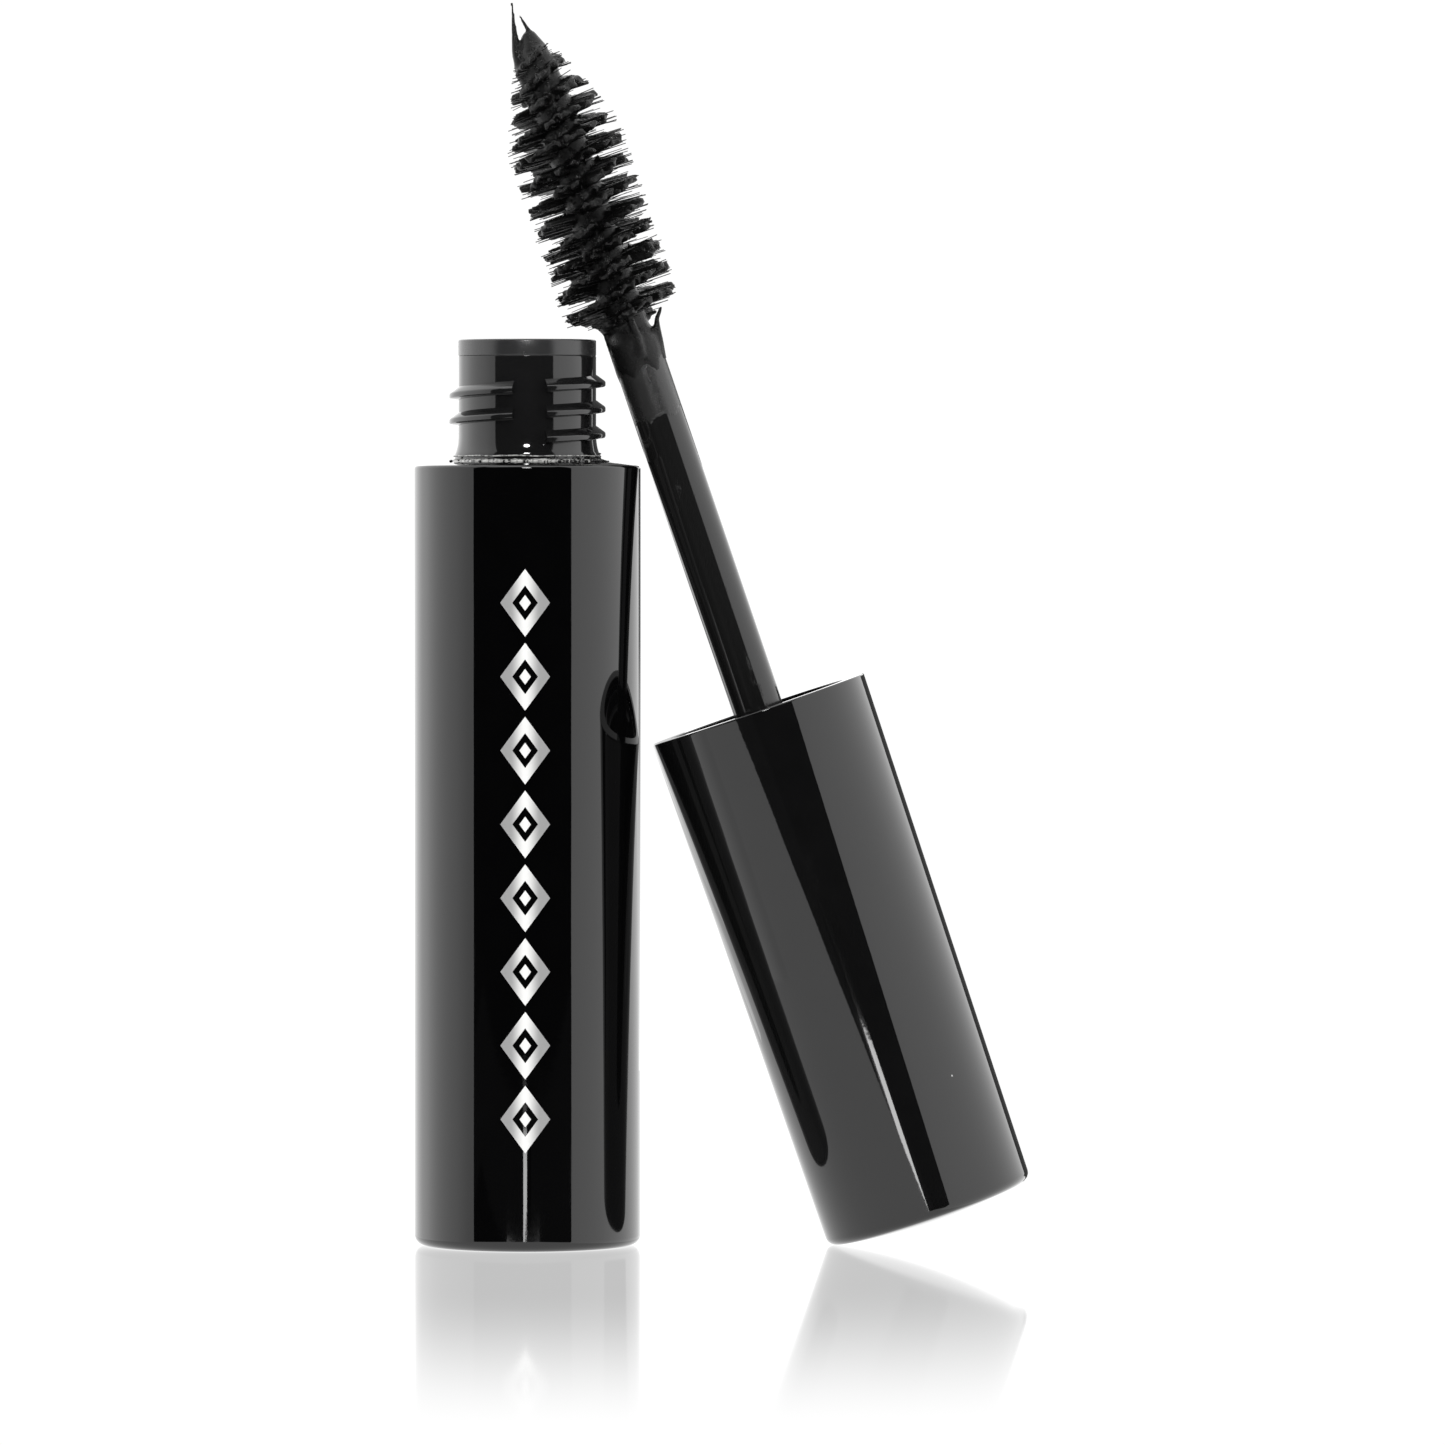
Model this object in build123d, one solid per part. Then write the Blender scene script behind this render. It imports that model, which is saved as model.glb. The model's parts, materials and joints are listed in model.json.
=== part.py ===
from build123d import *
import math
import os

# Mascara tube, standing open, with its wand leaning beside it.
# Frame: the origin is on the tube's axis at the surface it stands on, +Z up, and the wand leans
# in the XZ plane with its brush towards -X, over the tube's neck. Lengths are in millimetres.

# ---- Driving dimensions: the tube ----
SLEEVE_DIAMETER = 18.8
SLEEVE_LENGTH = 64.7  # up to the outer edge of the shoulder
SLEEVE_WALL = 1.2
SHOULDER_RISE = 0.36  # the shoulder is a flat cone, higher at the neck
SHOULDER_WALL = 1.0
SLEEVE_BASE_EDGE = 0.9
SLEEVE_TOP_EDGE = 0.15
SLEEVE_RIB_WIDTH = 0.8
SLEEVE_RIB_COUNT = 6
RIB_ROOT_SHARE = 0.25  # how far a rib goes into the wall it grows from
EDGE_SHARE = 0.8  # the largest rounding, as a share of the wall

NECK_DIAMETER = 11.43
NECK_HEIGHT = 10.45  # above the shoulder's outer edge, with the wiper's flange
NECK_WALL = 1.55
NECK_FOOT_FLARE = 0.33
NECK_FOOT_LENGTH = 0.65
THREAD_DIAMETER = 13.0
THREAD_PITCH = 25.4 / 12
THREAD_HALF_TURNS = 5
THREAD_TOP_DROP = 3.7  # from the neck's top to the first crest, on the +X side
THREAD_GAP_ANGLE = 26.0
THREAD_GAP_CENTRE = -87.0  # the front gap's direction about Z
THREAD_ROOT_WIDTH = 1.0
THREAD_CREST_WIDTH = 0.16
THREAD_UPPER_SHARE = 0.75  # of the ridge's slopes, the rest is the steep lower flank
THREAD_SUNK_SHARE = 0.4  # how far a ridge goes into its wall, as a share of its depth

VIAL_GAP = 0.35  # between the vial and the sleeve's wall
VIAL_WALL = 1.1
VIAL_FLOOR = 1.2
NECK_HOLE_CLEARANCE = 0.16
BEAD_WIDTH = 0.36
BEAD_HEIGHT = 0.5

PLUG_THICKNESS = 1.6
PLUG_PAD_RADIUS = 5.0
PLUG_PAD_HEIGHT = 0.6
LABEL_RADIUS = 6.8
LABEL_THICKNESS = 0.12

WIPER_FLANGE = 1.35
WIPER_LENGTH = 11.5  # below the flange
WIPER_BARREL_LENGTH = 5.5
WIPER_WALL = 0.8
WIPER_LAND = 1.2
WIPER_MOUTH_CHAMFER = 0.5
ORIFICE_CLEARANCE = 0.08

FILL_HEADROOM = 3.0  # from the wiper's lower end down to the mascara

FOIL_THICKNESS = 0.05
FOIL_WIDTH = 4.1
FOIL_LENGTH = 48.5
FOIL_CENTRE_HEIGHT = 32.2
FOIL_CELLS = 8
FOIL_CELL_GAP = 0.5
FOIL_LINE = 0.8
FOIL_CENTRE_SHARE = 0.45

# ---- Driving dimensions: the wand ----
WAND_TILT = 18.8  # degrees from vertical
WAND_GAP = 0.65  # smallest level gap between the leaning wand and the tube

CAP_RIM_DIAMETER = 18.5
CAP_END_DIAMETER = 17.7
CAP_LENGTH = 44.1  # straight side, without the dome
CAP_DOME = 0.9
CAP_END_EDGE = 0.6
CAP_RIM_EDGE = 0.15
CAP_END_WALL = 1.5
CAP_SIDE_WALL = 1.25  # at the closed end, where the draft leaves it thinnest

INSERT_RECESS = 1.0  # from the cap's rim to the insert
INSERT_RIB_HEIGHT = 0.5
INSERT_RIB_WIDTH = 1.0
INSERT_RIB_COUNT = 8
INSERT_LENGTH = 34.0
INSERT_TAIL_WALL = 1.0
INSERT_THREAD_CLEARANCE = 0.2
INSERT_THREAD_HALF_TURNS = 3
INSERT_CREST_SHARE = 1 / 3
INSERT_WEB = 1.2

WASHER_THICKNESS = 0.8
WASHER_CLEARANCE = 0.15
WASHER_END_GAP = 0.05

STEM_DIAMETER = 4.24
STEM_EXPOSED = 31.8  # from the cap's rim to the stem's tip
STEM_FLANGE_DIAMETER = 10.0
STEM_FLANGE = 0.9
STEM_PLUG_DIAMETER = 6.0
STEM_PLUG_LENGTH = 4.5
STEM_SNAP_HEIGHT = 0.35
STEM_SNAP_LENGTH = 0.8
STEM_FIT = 0.03
STEM_TIP_EDGE = 0.25

WIRE_DIAMETER = 1.1
WIRE_SOCKET_DEPTH = 7.0
WIRE_SOCKET_CLEARANCE = 0.03

BRUSH_DIAMETER = 10.14
BRUSH_START = 1.6  # from the stem's tip to the first fibres
BRUSH_START_RADIUS = 1.9
BRUSH_FULL_START = 3.0
BRUSH_FULL_END = 17.5
BRUSH_END = 26.0
BRUSH_END_RADIUS = 1.6
BRUSH_ROW_PITCH = 1.9
BRUSH_ROW_WIDTH = 1.4
BRUSH_CORE_DIAMETER = 3.5
BRUSH_VALLEY_SHARE = 0.45  # a valley's height between two rows, as a share of theirs
BRUSH_TAPER_POWER = 1.35
COAT_START = 0.3
COAT_START_SHARE = 0.7  # of the stem's radius
COAT_TIP_LENGTH = 1.6
COAT_TIP_DIAMETER = 0.8

# ---- Dimensions that follow from them ----
SLEEVE_R = SLEEVE_DIAMETER / 2
SLEEVE_BORE_R = SLEEVE_R - SLEEVE_WALL
SHOULDER_UNDER = SLEEVE_LENGTH - SHOULDER_WALL
NECK_R = NECK_DIAMETER / 2
NECK_TOP = SLEEVE_LENGTH + NECK_HEIGHT
NECK_BORE_R = NECK_R - NECK_WALL
NECK_FOOT_R = NECK_R + NECK_FOOT_FLARE
NECK_HOLE_R = NECK_FOOT_R + NECK_HOLE_CLEARANCE
SHOULDER_TOP = SLEEVE_LENGTH + SHOULDER_RISE
VIAL_R = SLEEVE_BORE_R - VIAL_GAP
VIAL_BORE_R = VIAL_R - VIAL_WALL
VIAL_BASE = PLUG_THICKNESS + PLUG_PAD_HEIGHT
VIAL_TOP = NECK_TOP - WIPER_FLANGE
THREAD_R = THREAD_DIAMETER / 2

STEM_R = STEM_DIAMETER / 2
ORIFICE_R = STEM_R + ORIFICE_CLEARANCE
WIPER_BASE = VIAL_TOP - WIPER_LENGTH

CAP_RIM_R = CAP_RIM_DIAMETER / 2
CAP_END_R = CAP_END_DIAMETER / 2
CAP_BORE_R = CAP_END_R - CAP_SIDE_WALL
CAP_BORE_DEPTH = CAP_LENGTH - CAP_END_WALL
INSERT_R = CAP_BORE_R - INSERT_RIB_HEIGHT
INSERT_ROOT_R = THREAD_R + INSERT_THREAD_CLEARANCE
SEAT_DEPTH = NECK_HEIGHT  # where the neck's top stops in the closed cap
FLANGE_DEPTH = SEAT_DEPTH + WASHER_THICKNESS + WASHER_END_GAP
WEB_DEPTH = FLANGE_DEPTH + STEM_FLANGE
STEM_PLUG_R = STEM_PLUG_DIAMETER / 2
WIRE_R = WIRE_DIAMETER / 2
BRUSH_R = BRUSH_DIAMETER / 2
BRUSH_CORE_R = BRUSH_CORE_DIAMETER / 2


# ---- Helpers ----
def outline(points, rounds=()):
    """A face in the XZ plane from (radius, height) points, with some corners rounded."""
    face = make_face(Polyline(*points, close=True))
    for corner, radius in rounds:
        nearest = min(face.vertices(), key=lambda v: math.hypot(v.X - corner[0], v.Y - corner[1]))
        face = fillet(nearest, radius)
    return Plane.XZ * face


def turned(points, rounds=()):
    """A solid of revolution about Z."""
    return revolve(outline(points, rounds), Axis.Z)


def ring(outer, inner, low, high):
    """A plain ring about Z."""
    return turned([(inner, low), (outer, low), (outer, high), (inner, high)])


def thread_half_turns(section, middle_angle, first_height, count):
    """Right-handed half turns of a ridge, each with a gap at its ends, one below the other.

    section is (radius, height) points about the crest line. The first one's middle is at
    middle_angle, and first_height is the crest line's height at angle zero.
    """
    sweep_angle = 180 - THREAD_GAP_ANGLE
    path = Helix(THREAD_PITCH, THREAD_PITCH * sweep_angle / 360, max(r for r, _ in section))
    ridge = sweep(outline(section), path=path, is_frenet=True)
    pieces = []
    for half_turn in range(count):
        start = middle_angle - 180 * half_turn - sweep_angle / 2
        height = first_height + THREAD_PITCH * start / 360
        pieces.append(Pos(0, 0, height) * Rot(0, 0, start) * ridge)
    return pieces


def spaced_ribs(count, inner, outer, width, low, high):
    """Straight ribs around Z that fill the gap between two radii."""
    rib = Pos((inner + outer) / 2, 0, (low + high) / 2) * Box(outer - inner, width, high - low)
    return [Rot(0, 0, 360 * k / count) * rib for k in range(count)]


# ---- The tube ----
def make_outer_sleeve():
    """Gloss outer tube: open below for the vial, with a shoulder around the neck."""
    profile = [
        (SLEEVE_BORE_R, 0),
        (SLEEVE_R, 0),
        (SLEEVE_R, SLEEVE_LENGTH),
        (NECK_HOLE_R, SHOULDER_TOP),
        (NECK_HOLE_R, SHOULDER_UNDER),
        (SLEEVE_BORE_R, SHOULDER_UNDER),
    ]
    rounds = [
        ((SLEEVE_R, 0), min(SLEEVE_BASE_EDGE, EDGE_SHARE * SLEEVE_WALL)),
        ((SLEEVE_R, SLEEVE_LENGTH), SLEEVE_TOP_EDGE),
    ]
    sleeve = turned(profile, rounds)
    root = SLEEVE_BORE_R + SLEEVE_WALL * RIB_ROOT_SHARE
    low = VIAL_BASE + VIAL_FLOOR
    ribs = spaced_ribs(SLEEVE_RIB_COUNT, VIAL_R, root, SLEEVE_RIB_WIDTH, low, SHOULDER_UNDER)
    return sleeve + ribs - ring(VIAL_R, 0, low, SHOULDER_UNDER)


def make_base_plug():
    """Disc pressed into the sleeve's open end. Its pad carries the vial and its recess the label."""
    profile = [
        (0, LABEL_THICKNESS),
        (LABEL_RADIUS, LABEL_THICKNESS),
        (LABEL_RADIUS, 0),
        (SLEEVE_BORE_R, 0),
        (SLEEVE_BORE_R, PLUG_THICKNESS),
        (PLUG_PAD_RADIUS, PLUG_THICKNESS),
        (PLUG_PAD_RADIUS, VIAL_BASE),
        (0, VIAL_BASE),
    ]
    return turned(profile)


def make_shade_label():
    """Blank round sticker, level with the base."""
    return Pos(0, 0, LABEL_THICKNESS / 2) * Cylinder(LABEL_RADIUS, LABEL_THICKNESS)


def neck_thread_section():
    """The ridge's section about its crest line: a long upper flank and a steep lower one."""
    depth = THREAD_R - NECK_R
    slopes = THREAD_ROOT_WIDTH - THREAD_CREST_WIDTH
    upper = THREAD_CREST_WIDTH / 2 + THREAD_UPPER_SHARE * slopes
    lower = -THREAD_CREST_WIDTH / 2 - (1 - THREAD_UPPER_SHARE) * slopes
    sunk = NECK_R - THREAD_SUNK_SHARE * depth
    return [
        (sunk, lower),
        (NECK_R, lower),
        (THREAD_R, -THREAD_CREST_WIDTH / 2),
        (THREAD_R, THREAD_CREST_WIDTH / 2),
        (NECK_R, upper),
        (sunk, upper),
    ]


def make_inner_vial():
    """Moulded vial with the threaded neck: a ridge in half turns with a gap at front and back."""
    foot_top = SHOULDER_TOP + BEAD_HEIGHT
    profile = [
        (0, VIAL_BASE),
        (VIAL_R, VIAL_BASE),
        (VIAL_R, SHOULDER_UNDER),
        (NECK_FOOT_R, SHOULDER_UNDER),
        (NECK_FOOT_R, foot_top),
        (NECK_R, foot_top + NECK_FOOT_LENGTH),
        (NECK_R, VIAL_TOP),
        (NECK_BORE_R, VIAL_TOP),
        (NECK_BORE_R, SHOULDER_UNDER),
        (VIAL_BORE_R, SHOULDER_UNDER - VIAL_WALL - (VIAL_BORE_R - NECK_BORE_R) / 2),
        (VIAL_BORE_R, VIAL_BASE + VIAL_FLOOR),
        (0, VIAL_BASE + VIAL_FLOOR),
    ]
    vial = turned(profile, [((VIAL_R, VIAL_BASE), VIAL_WALL)])
    middle = THREAD_GAP_CENTRE + 90
    top = NECK_TOP - THREAD_TOP_DROP
    for ridge in thread_half_turns(neck_thread_section(), middle, top, THREAD_HALF_TURNS):
        vial += ridge
    return vial


def make_neck_bead(sleeve, vial):
    """Bead of adhesive around the neck's foot, where it leaves the shoulder."""
    outer = NECK_FOOT_R + BEAD_WIDTH
    profile = [
        (NECK_FOOT_R, SHOULDER_TOP - BEAD_HEIGHT / 2),
        (outer, SHOULDER_TOP - BEAD_HEIGHT / 2),
        (outer, SHOULDER_TOP + BEAD_HEIGHT),
        (NECK_FOOT_R, SHOULDER_TOP + BEAD_HEIGHT),
    ]
    return turned(profile, [((outer, SHOULDER_TOP + BEAD_HEIGHT), BEAD_WIDTH / 2)]) - sleeve - vial


def make_wiper():
    """Soft insert in the neck: a flange, a barrel, and a cone down to the wiping orifice."""
    barrel_low = VIAL_TOP - WIPER_BARREL_LENGTH
    cone_low = WIPER_BASE + WIPER_LAND
    inner_r = NECK_BORE_R - WIPER_WALL
    profile = [
        (NECK_BORE_R, barrel_low),
        (NECK_BORE_R, VIAL_TOP),
        (NECK_R, VIAL_TOP),
        (NECK_R, NECK_TOP),
        (inner_r + WIPER_MOUTH_CHAMFER, NECK_TOP),
        (inner_r, NECK_TOP - WIPER_MOUTH_CHAMFER),
        (inner_r, barrel_low),
        (ORIFICE_R, cone_low),
        (ORIFICE_R, WIPER_BASE),
        (ORIFICE_R + WIPER_WALL, WIPER_BASE),
        (ORIFICE_R + WIPER_WALL, cone_low),
    ]
    return turned(profile, [((NECK_R, NECK_TOP), SLEEVE_TOP_EDGE)])


def make_mascara_fill():
    """The mascara that is left in the vial."""
    top = WIPER_BASE - FILL_HEADROOM
    bottom = VIAL_BASE + VIAL_FLOOR
    return Pos(0, 0, (top + bottom) / 2) * Cylinder(VIAL_BORE_R, top - bottom)


def lozenge(width, length):
    """A plain diamond, upright, about its centre."""
    return make_face(Polyline((width / 2, 0), (0, length / 2), (-width / 2, 0), (0, -length / 2), close=True))


def make_foil_motif():
    """Plain ornament on the sleeve's front: a column of diamond frames, each with a diamond in it."""
    pitch = FOIL_LENGTH / FOIL_CELLS
    length = pitch - FOIL_CELL_GAP
    share = 1 - 2 * FOIL_LINE * math.hypot(FOIL_WIDTH, length) / (FOIL_WIDTH * length)
    cell = lozenge(FOIL_WIDTH, length) - lozenge(FOIL_WIDTH * share, length * share)
    centre = share * FOIL_CENTRE_SHARE
    cell += lozenge(FOIL_WIDTH * centre, length * centre)
    skin = ring(SLEEVE_R + FOIL_THICKNESS, SLEEVE_R, 0, SLEEVE_LENGTH)
    first = FOIL_CENTRE_HEIGHT - FOIL_LENGTH / 2 + pitch / 2
    pieces = []
    for k in range(FOIL_CELLS):
        block = extrude(Plane.XZ * Pos(0, first + k * pitch) * cell, SLEEVE_R + 1)
        pieces += (block & skin).solids()
    return Compound(pieces)


# ---- The wand, built upright: z = 0 at the cap's rim and +Z towards the brush ----
def make_cap_shell():
    """Gloss outer cap with a slight draft and a domed closed end."""
    apex = -CAP_LENGTH - CAP_DOME
    profile = [
        (CAP_BORE_R, 0),
        (CAP_RIM_R, 0),
        (CAP_END_R, -CAP_LENGTH),
        (CAP_END_R, apex),
        (0, apex),
        (0, -CAP_BORE_DEPTH),
        (CAP_BORE_R, -CAP_BORE_DEPTH),
    ]
    dome_r = (CAP_END_R**2 + CAP_DOME**2) / (2 * CAP_DOME)
    shell = turned(profile, [((CAP_RIM_R, 0), CAP_RIM_EDGE)]) & Pos(0, 0, apex + dome_r) * Sphere(dome_r)
    dome_edges = [e for e in shell.edges() if abs(e.center().Z + CAP_LENGTH) < CAP_DOME / 2]
    return fillet(dome_edges, CAP_END_EDGE)


def insert_thread_section():
    """The cap's ridge, pointing inwards, narrower than the gap between the neck's ridges."""
    crest_r = NECK_R + INSERT_THREAD_CLEARANCE
    depth = INSERT_ROOT_R - crest_r
    half_root = (THREAD_PITCH - THREAD_ROOT_WIDTH) / 2 - INSERT_THREAD_CLEARANCE / 2
    half_crest = half_root * INSERT_CREST_SHARE
    sunk = INSERT_ROOT_R + THREAD_SUNK_SHARE * depth
    return [
        (sunk, half_root),
        (INSERT_ROOT_R, half_root),
        (crest_r, half_crest),
        (crest_r, -half_crest),
        (INSERT_ROOT_R, -half_root),
        (sunk, -half_root),
    ]


def make_cap_insert():
    """Inner cap with the thread, a web that holds the stem, and a tail with ribs for the shell."""
    web_top = WEB_DEPTH + INSERT_WEB
    hole = STEM_PLUG_R + STEM_FIT
    profile = [
        (INSERT_ROOT_R, -INSERT_RECESS),
        (INSERT_R, -INSERT_RECESS),
        (INSERT_R, -INSERT_LENGTH),
        (INSERT_R - INSERT_TAIL_WALL, -INSERT_LENGTH),
        (INSERT_R - INSERT_TAIL_WALL, -web_top),
        (hole, -web_top),
        (hole, -WEB_DEPTH),
        (INSERT_ROOT_R, -WEB_DEPTH),
    ]
    insert = turned(profile)
    low = -INSERT_LENGTH
    root = INSERT_R - INSERT_TAIL_WALL * RIB_ROOT_SHARE
    for rib in spaced_ribs(INSERT_RIB_COUNT, root, CAP_BORE_R, INSERT_RIB_WIDTH, low, -INSERT_RECESS):
        insert += rib
    insert &= ring(CAP_BORE_R, 0, low, -INSERT_RECESS)
    top = -SEAT_DEPTH + THREAD_TOP_DROP + THREAD_PITCH * (INSERT_THREAD_HALF_TURNS + 1) / 2
    for ridge in thread_half_turns(insert_thread_section(), 0, top, INSERT_THREAD_HALF_TURNS):
        insert += ridge
    return insert


def make_sealing_washer():
    """Soft ring that seals on the neck's top. It is free to turn around the stem."""
    outer = INSERT_ROOT_R - WASHER_CLEARANCE
    return ring(outer, STEM_R + WASHER_CLEARANCE, -SEAT_DEPTH - WASHER_THICKNESS, -SEAT_DEPTH)


def make_stem():
    """Stem with a flange and a snap plug in the cap, and a socket for the wire at its tip."""
    snap_low = -WEB_DEPTH - INSERT_WEB - STEM_FIT
    plug_end = -WEB_DEPTH - STEM_PLUG_LENGTH
    socket_r = WIRE_R + WIRE_SOCKET_CLEARANCE
    profile = [
        (0, plug_end),
        (STEM_PLUG_R, plug_end),
        (STEM_PLUG_R, snap_low - STEM_SNAP_LENGTH),
        (STEM_PLUG_R + STEM_SNAP_HEIGHT, snap_low),
        (STEM_PLUG_R, snap_low),
        (STEM_PLUG_R, -WEB_DEPTH),
        (STEM_FLANGE_DIAMETER / 2, -WEB_DEPTH),
        (STEM_FLANGE_DIAMETER / 2, -FLANGE_DEPTH),
        (STEM_R, -FLANGE_DEPTH),
        (STEM_R, STEM_EXPOSED),
        (socket_r, STEM_EXPOSED),
        (socket_r, STEM_EXPOSED - WIRE_SOCKET_DEPTH),
        (0, STEM_EXPOSED - WIRE_SOCKET_DEPTH),
    ]
    return turned(profile, [((STEM_R, STEM_EXPOSED), STEM_TIP_EDGE)])


def make_wire_core():
    """Twisted wire that holds the fibres, as the round bar it fills."""
    low = STEM_EXPOSED - WIRE_SOCKET_DEPTH
    high = STEM_EXPOSED + BRUSH_END
    return Pos(0, 0, (low + high) / 2) * Cylinder(WIRE_R, high - low)


def brush_radius(along):
    """The brush's outer radius at a distance from the stem's tip."""
    if along < BRUSH_FULL_START:
        share = (along - BRUSH_START) / (BRUSH_FULL_START - BRUSH_START)
        return BRUSH_START_RADIUS + (BRUSH_R - BRUSH_START_RADIUS) * share
    if along <= BRUSH_FULL_END:
        return BRUSH_R
    share = (along - BRUSH_FULL_END) / (BRUSH_END - BRUSH_FULL_END)
    return BRUSH_R + (BRUSH_END_RADIUS - BRUSH_R) * share**BRUSH_TAPER_POWER


def make_bristles():
    """The fibres as rows around the core, inside the brush's full outline."""
    rows = int((BRUSH_END - BRUSH_START) / BRUSH_ROW_PITCH)
    root = BRUSH_CORE_R
    points = [(root, BRUSH_START), (brush_radius(BRUSH_START), BRUSH_START)]
    groove = BRUSH_ROW_PITCH - BRUSH_ROW_WIDTH
    for row in range(rows):
        low = BRUSH_START + row * BRUSH_ROW_PITCH + groove
        high = low + BRUSH_ROW_WIDTH
        valley = root + BRUSH_VALLEY_SHARE * (brush_radius(low) - root)
        if row:
            points.append((valley, low - groove / 2))
        points.append((brush_radius(low), low))
        points.append((brush_radius(high), high))
    points.append((root, points[-1][1]))
    return turned([(r, z + STEM_EXPOSED) for r, z in points])


def make_mascara_coat():
    """Mascara around the wire inside the fibres, drawn to a point past the brush."""
    end = STEM_EXPOSED + BRUSH_END
    start = STEM_EXPOSED + COAT_START
    shoulder = STEM_EXPOSED + BRUSH_START
    profile = [
        (WIRE_R, start),
        (STEM_R * COAT_START_SHARE, start),
        (BRUSH_CORE_R, shoulder),
        (BRUSH_CORE_R, end - COAT_TIP_LENGTH),
        (COAT_TIP_DIAMETER / 2, end + COAT_TIP_LENGTH),
        (0, end + COAT_TIP_LENGTH),
        (0, end),
        (WIRE_R, end),
    ]
    return turned(profile)


# ---- Where the wand stands ----
def edge_at(points, height):
    """The widest x at a height on an outline of (x, z) points, or None off its ends."""
    found = []
    for (x0, z0), (x1, z1) in zip(points, points[1:]):
        if not min(z0, z1) <= height <= max(z0, z1):
            continue
        if z0 == z1:
            found += [x0, x1]
        else:
            found.append(x0 + (x1 - x0) * (height - z0) / (z1 - z0))
    return max(found, default=None)


def wand_place(cap_shell):
    """Leans the wand on the floor, as close to the tube as WAND_GAP allows at the nearest height."""
    lean = Rot(0, -WAND_TILT, 0)
    rise = -(lean * cap_shell).bounding_box().min.Z
    outer = [(CAP_END_R, -CAP_LENGTH), (CAP_RIM_R, 0), (STEM_R, 0), (STEM_R, STEM_EXPOSED)]
    for along in (BRUSH_START, BRUSH_FULL_START, BRUSH_FULL_END, BRUSH_END):
        outer.append((brush_radius(along), STEM_EXPOSED + along))
    tilt = math.radians(WAND_TILT)
    wand_edge = []
    for radius, along in outer:
        x = -along * math.sin(tilt) - radius * math.cos(tilt)
        z = along * math.cos(tilt) - radius * math.sin(tilt) + rise
        wand_edge.append((-x, z))
    tube_edge = [
        (SLEEVE_R, 0),
        (SLEEVE_R, SLEEVE_LENGTH),
        (THREAD_R, SHOULDER_TOP),
        (THREAD_R, NECK_TOP - THREAD_TOP_DROP + THREAD_ROOT_WIDTH),
        (NECK_R, NECK_TOP - THREAD_TOP_DROP + THREAD_ROOT_WIDTH),
        (NECK_R, NECK_TOP),
    ]
    shift = 0
    for height in sorted({z for _, z in wand_edge + tube_edge}):
        near, far = edge_at(tube_edge, height), edge_at(wand_edge, height)
        if near is not None and far is not None:
            shift = max(shift, near + far + WAND_GAP)
    return Pos(shift, 0, rise) * lean


def main():
    """Builds every piece and writes one file for each."""
    os.makedirs("parts", exist_ok=True)
    sleeve = make_outer_sleeve()
    vial = make_inner_vial()
    pieces = {
        "outer_sleeve": sleeve,
        "base_plug": make_base_plug(),
        "shade_label": make_shade_label(),
        "inner_vial": vial,
        "neck_bead": make_neck_bead(sleeve, vial),
        "wiper": make_wiper(),
        "mascara_fill": make_mascara_fill(),
        "foil_motif": make_foil_motif(),
    }
    cap_shell = make_cap_shell()
    place = wand_place(cap_shell)
    wand = {
        "cap_shell": cap_shell,
        "cap_insert": make_cap_insert(),
        "sealing_washer": make_sealing_washer(),
        "stem": make_stem(),
        "wire_core": make_wire_core(),
        "bristles": make_bristles(),
        "mascara_coat": make_mascara_coat(),
    }
    for name, piece in wand.items():
        pieces[name] = place * piece
    for name, piece in pieces.items():
        export_step(piece, os.path.join("parts", f"{name}.step"))
    print("wand placed at", place.position)


if __name__ == "__main__":
    main()
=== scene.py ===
"""Looks of a mascara tube and of the wand that leans on it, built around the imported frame."""

import json
import logging
import math
import random
from dataclasses import dataclass
from enum import Enum
from typing import Callable, Mapping, Optional, Sequence, Union

import bmesh
import bpy
from mathutils import Matrix, Vector, noise


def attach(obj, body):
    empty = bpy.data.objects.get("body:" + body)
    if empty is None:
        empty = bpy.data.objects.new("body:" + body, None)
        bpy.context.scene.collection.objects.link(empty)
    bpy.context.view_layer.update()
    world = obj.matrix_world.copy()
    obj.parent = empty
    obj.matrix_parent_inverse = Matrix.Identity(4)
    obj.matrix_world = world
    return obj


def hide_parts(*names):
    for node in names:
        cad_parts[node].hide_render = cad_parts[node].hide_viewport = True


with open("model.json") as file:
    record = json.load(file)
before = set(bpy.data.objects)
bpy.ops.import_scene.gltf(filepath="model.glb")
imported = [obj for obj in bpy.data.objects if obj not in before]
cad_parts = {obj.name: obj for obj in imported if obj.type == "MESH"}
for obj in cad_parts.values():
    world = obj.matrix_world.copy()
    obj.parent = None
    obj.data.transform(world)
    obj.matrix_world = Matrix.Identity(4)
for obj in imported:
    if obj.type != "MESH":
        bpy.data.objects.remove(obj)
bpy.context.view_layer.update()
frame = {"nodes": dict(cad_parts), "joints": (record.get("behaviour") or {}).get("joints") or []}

LOG = logging.getLogger("mascara_tube")
MM = 0.001
SEED = 4127
TURN_STEPS = 144
CORNER_STEPS = 4
SHARP_ANGLE = math.radians(32)
MERGE_DISTANCE = 1e-4

Point2 = tuple[float, float]
Point3 = tuple[float, float, float]
Corners = tuple[Point3, ...]
Glow = tuple[Point2, ...]
Colour = tuple[float, float, float]
Value = Union[float, int, Sequence[float], "Signal"]


class Body(Enum):
    """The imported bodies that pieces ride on."""

    TUBE = "tube"
    WAND = "wand"


class Slot(Enum):
    """The record's material slot names, carried by each new piece's job but not used to place it in a slot;
    dressed nodes keep their own.
    """

    SLEEVE = "sleeve_gloss"
    VIAL = "vial_plastic"
    ADHESIVE = "adhesive"
    WIPER = "wiper_plastic"
    MASCARA = "mascara"
    FOIL = "silver_foil"
    CAP = "cap_gloss"
    STEM = "stem_plastic"
    WIRE = "wire_steel"
    FIBRES = "fibres"


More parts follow.
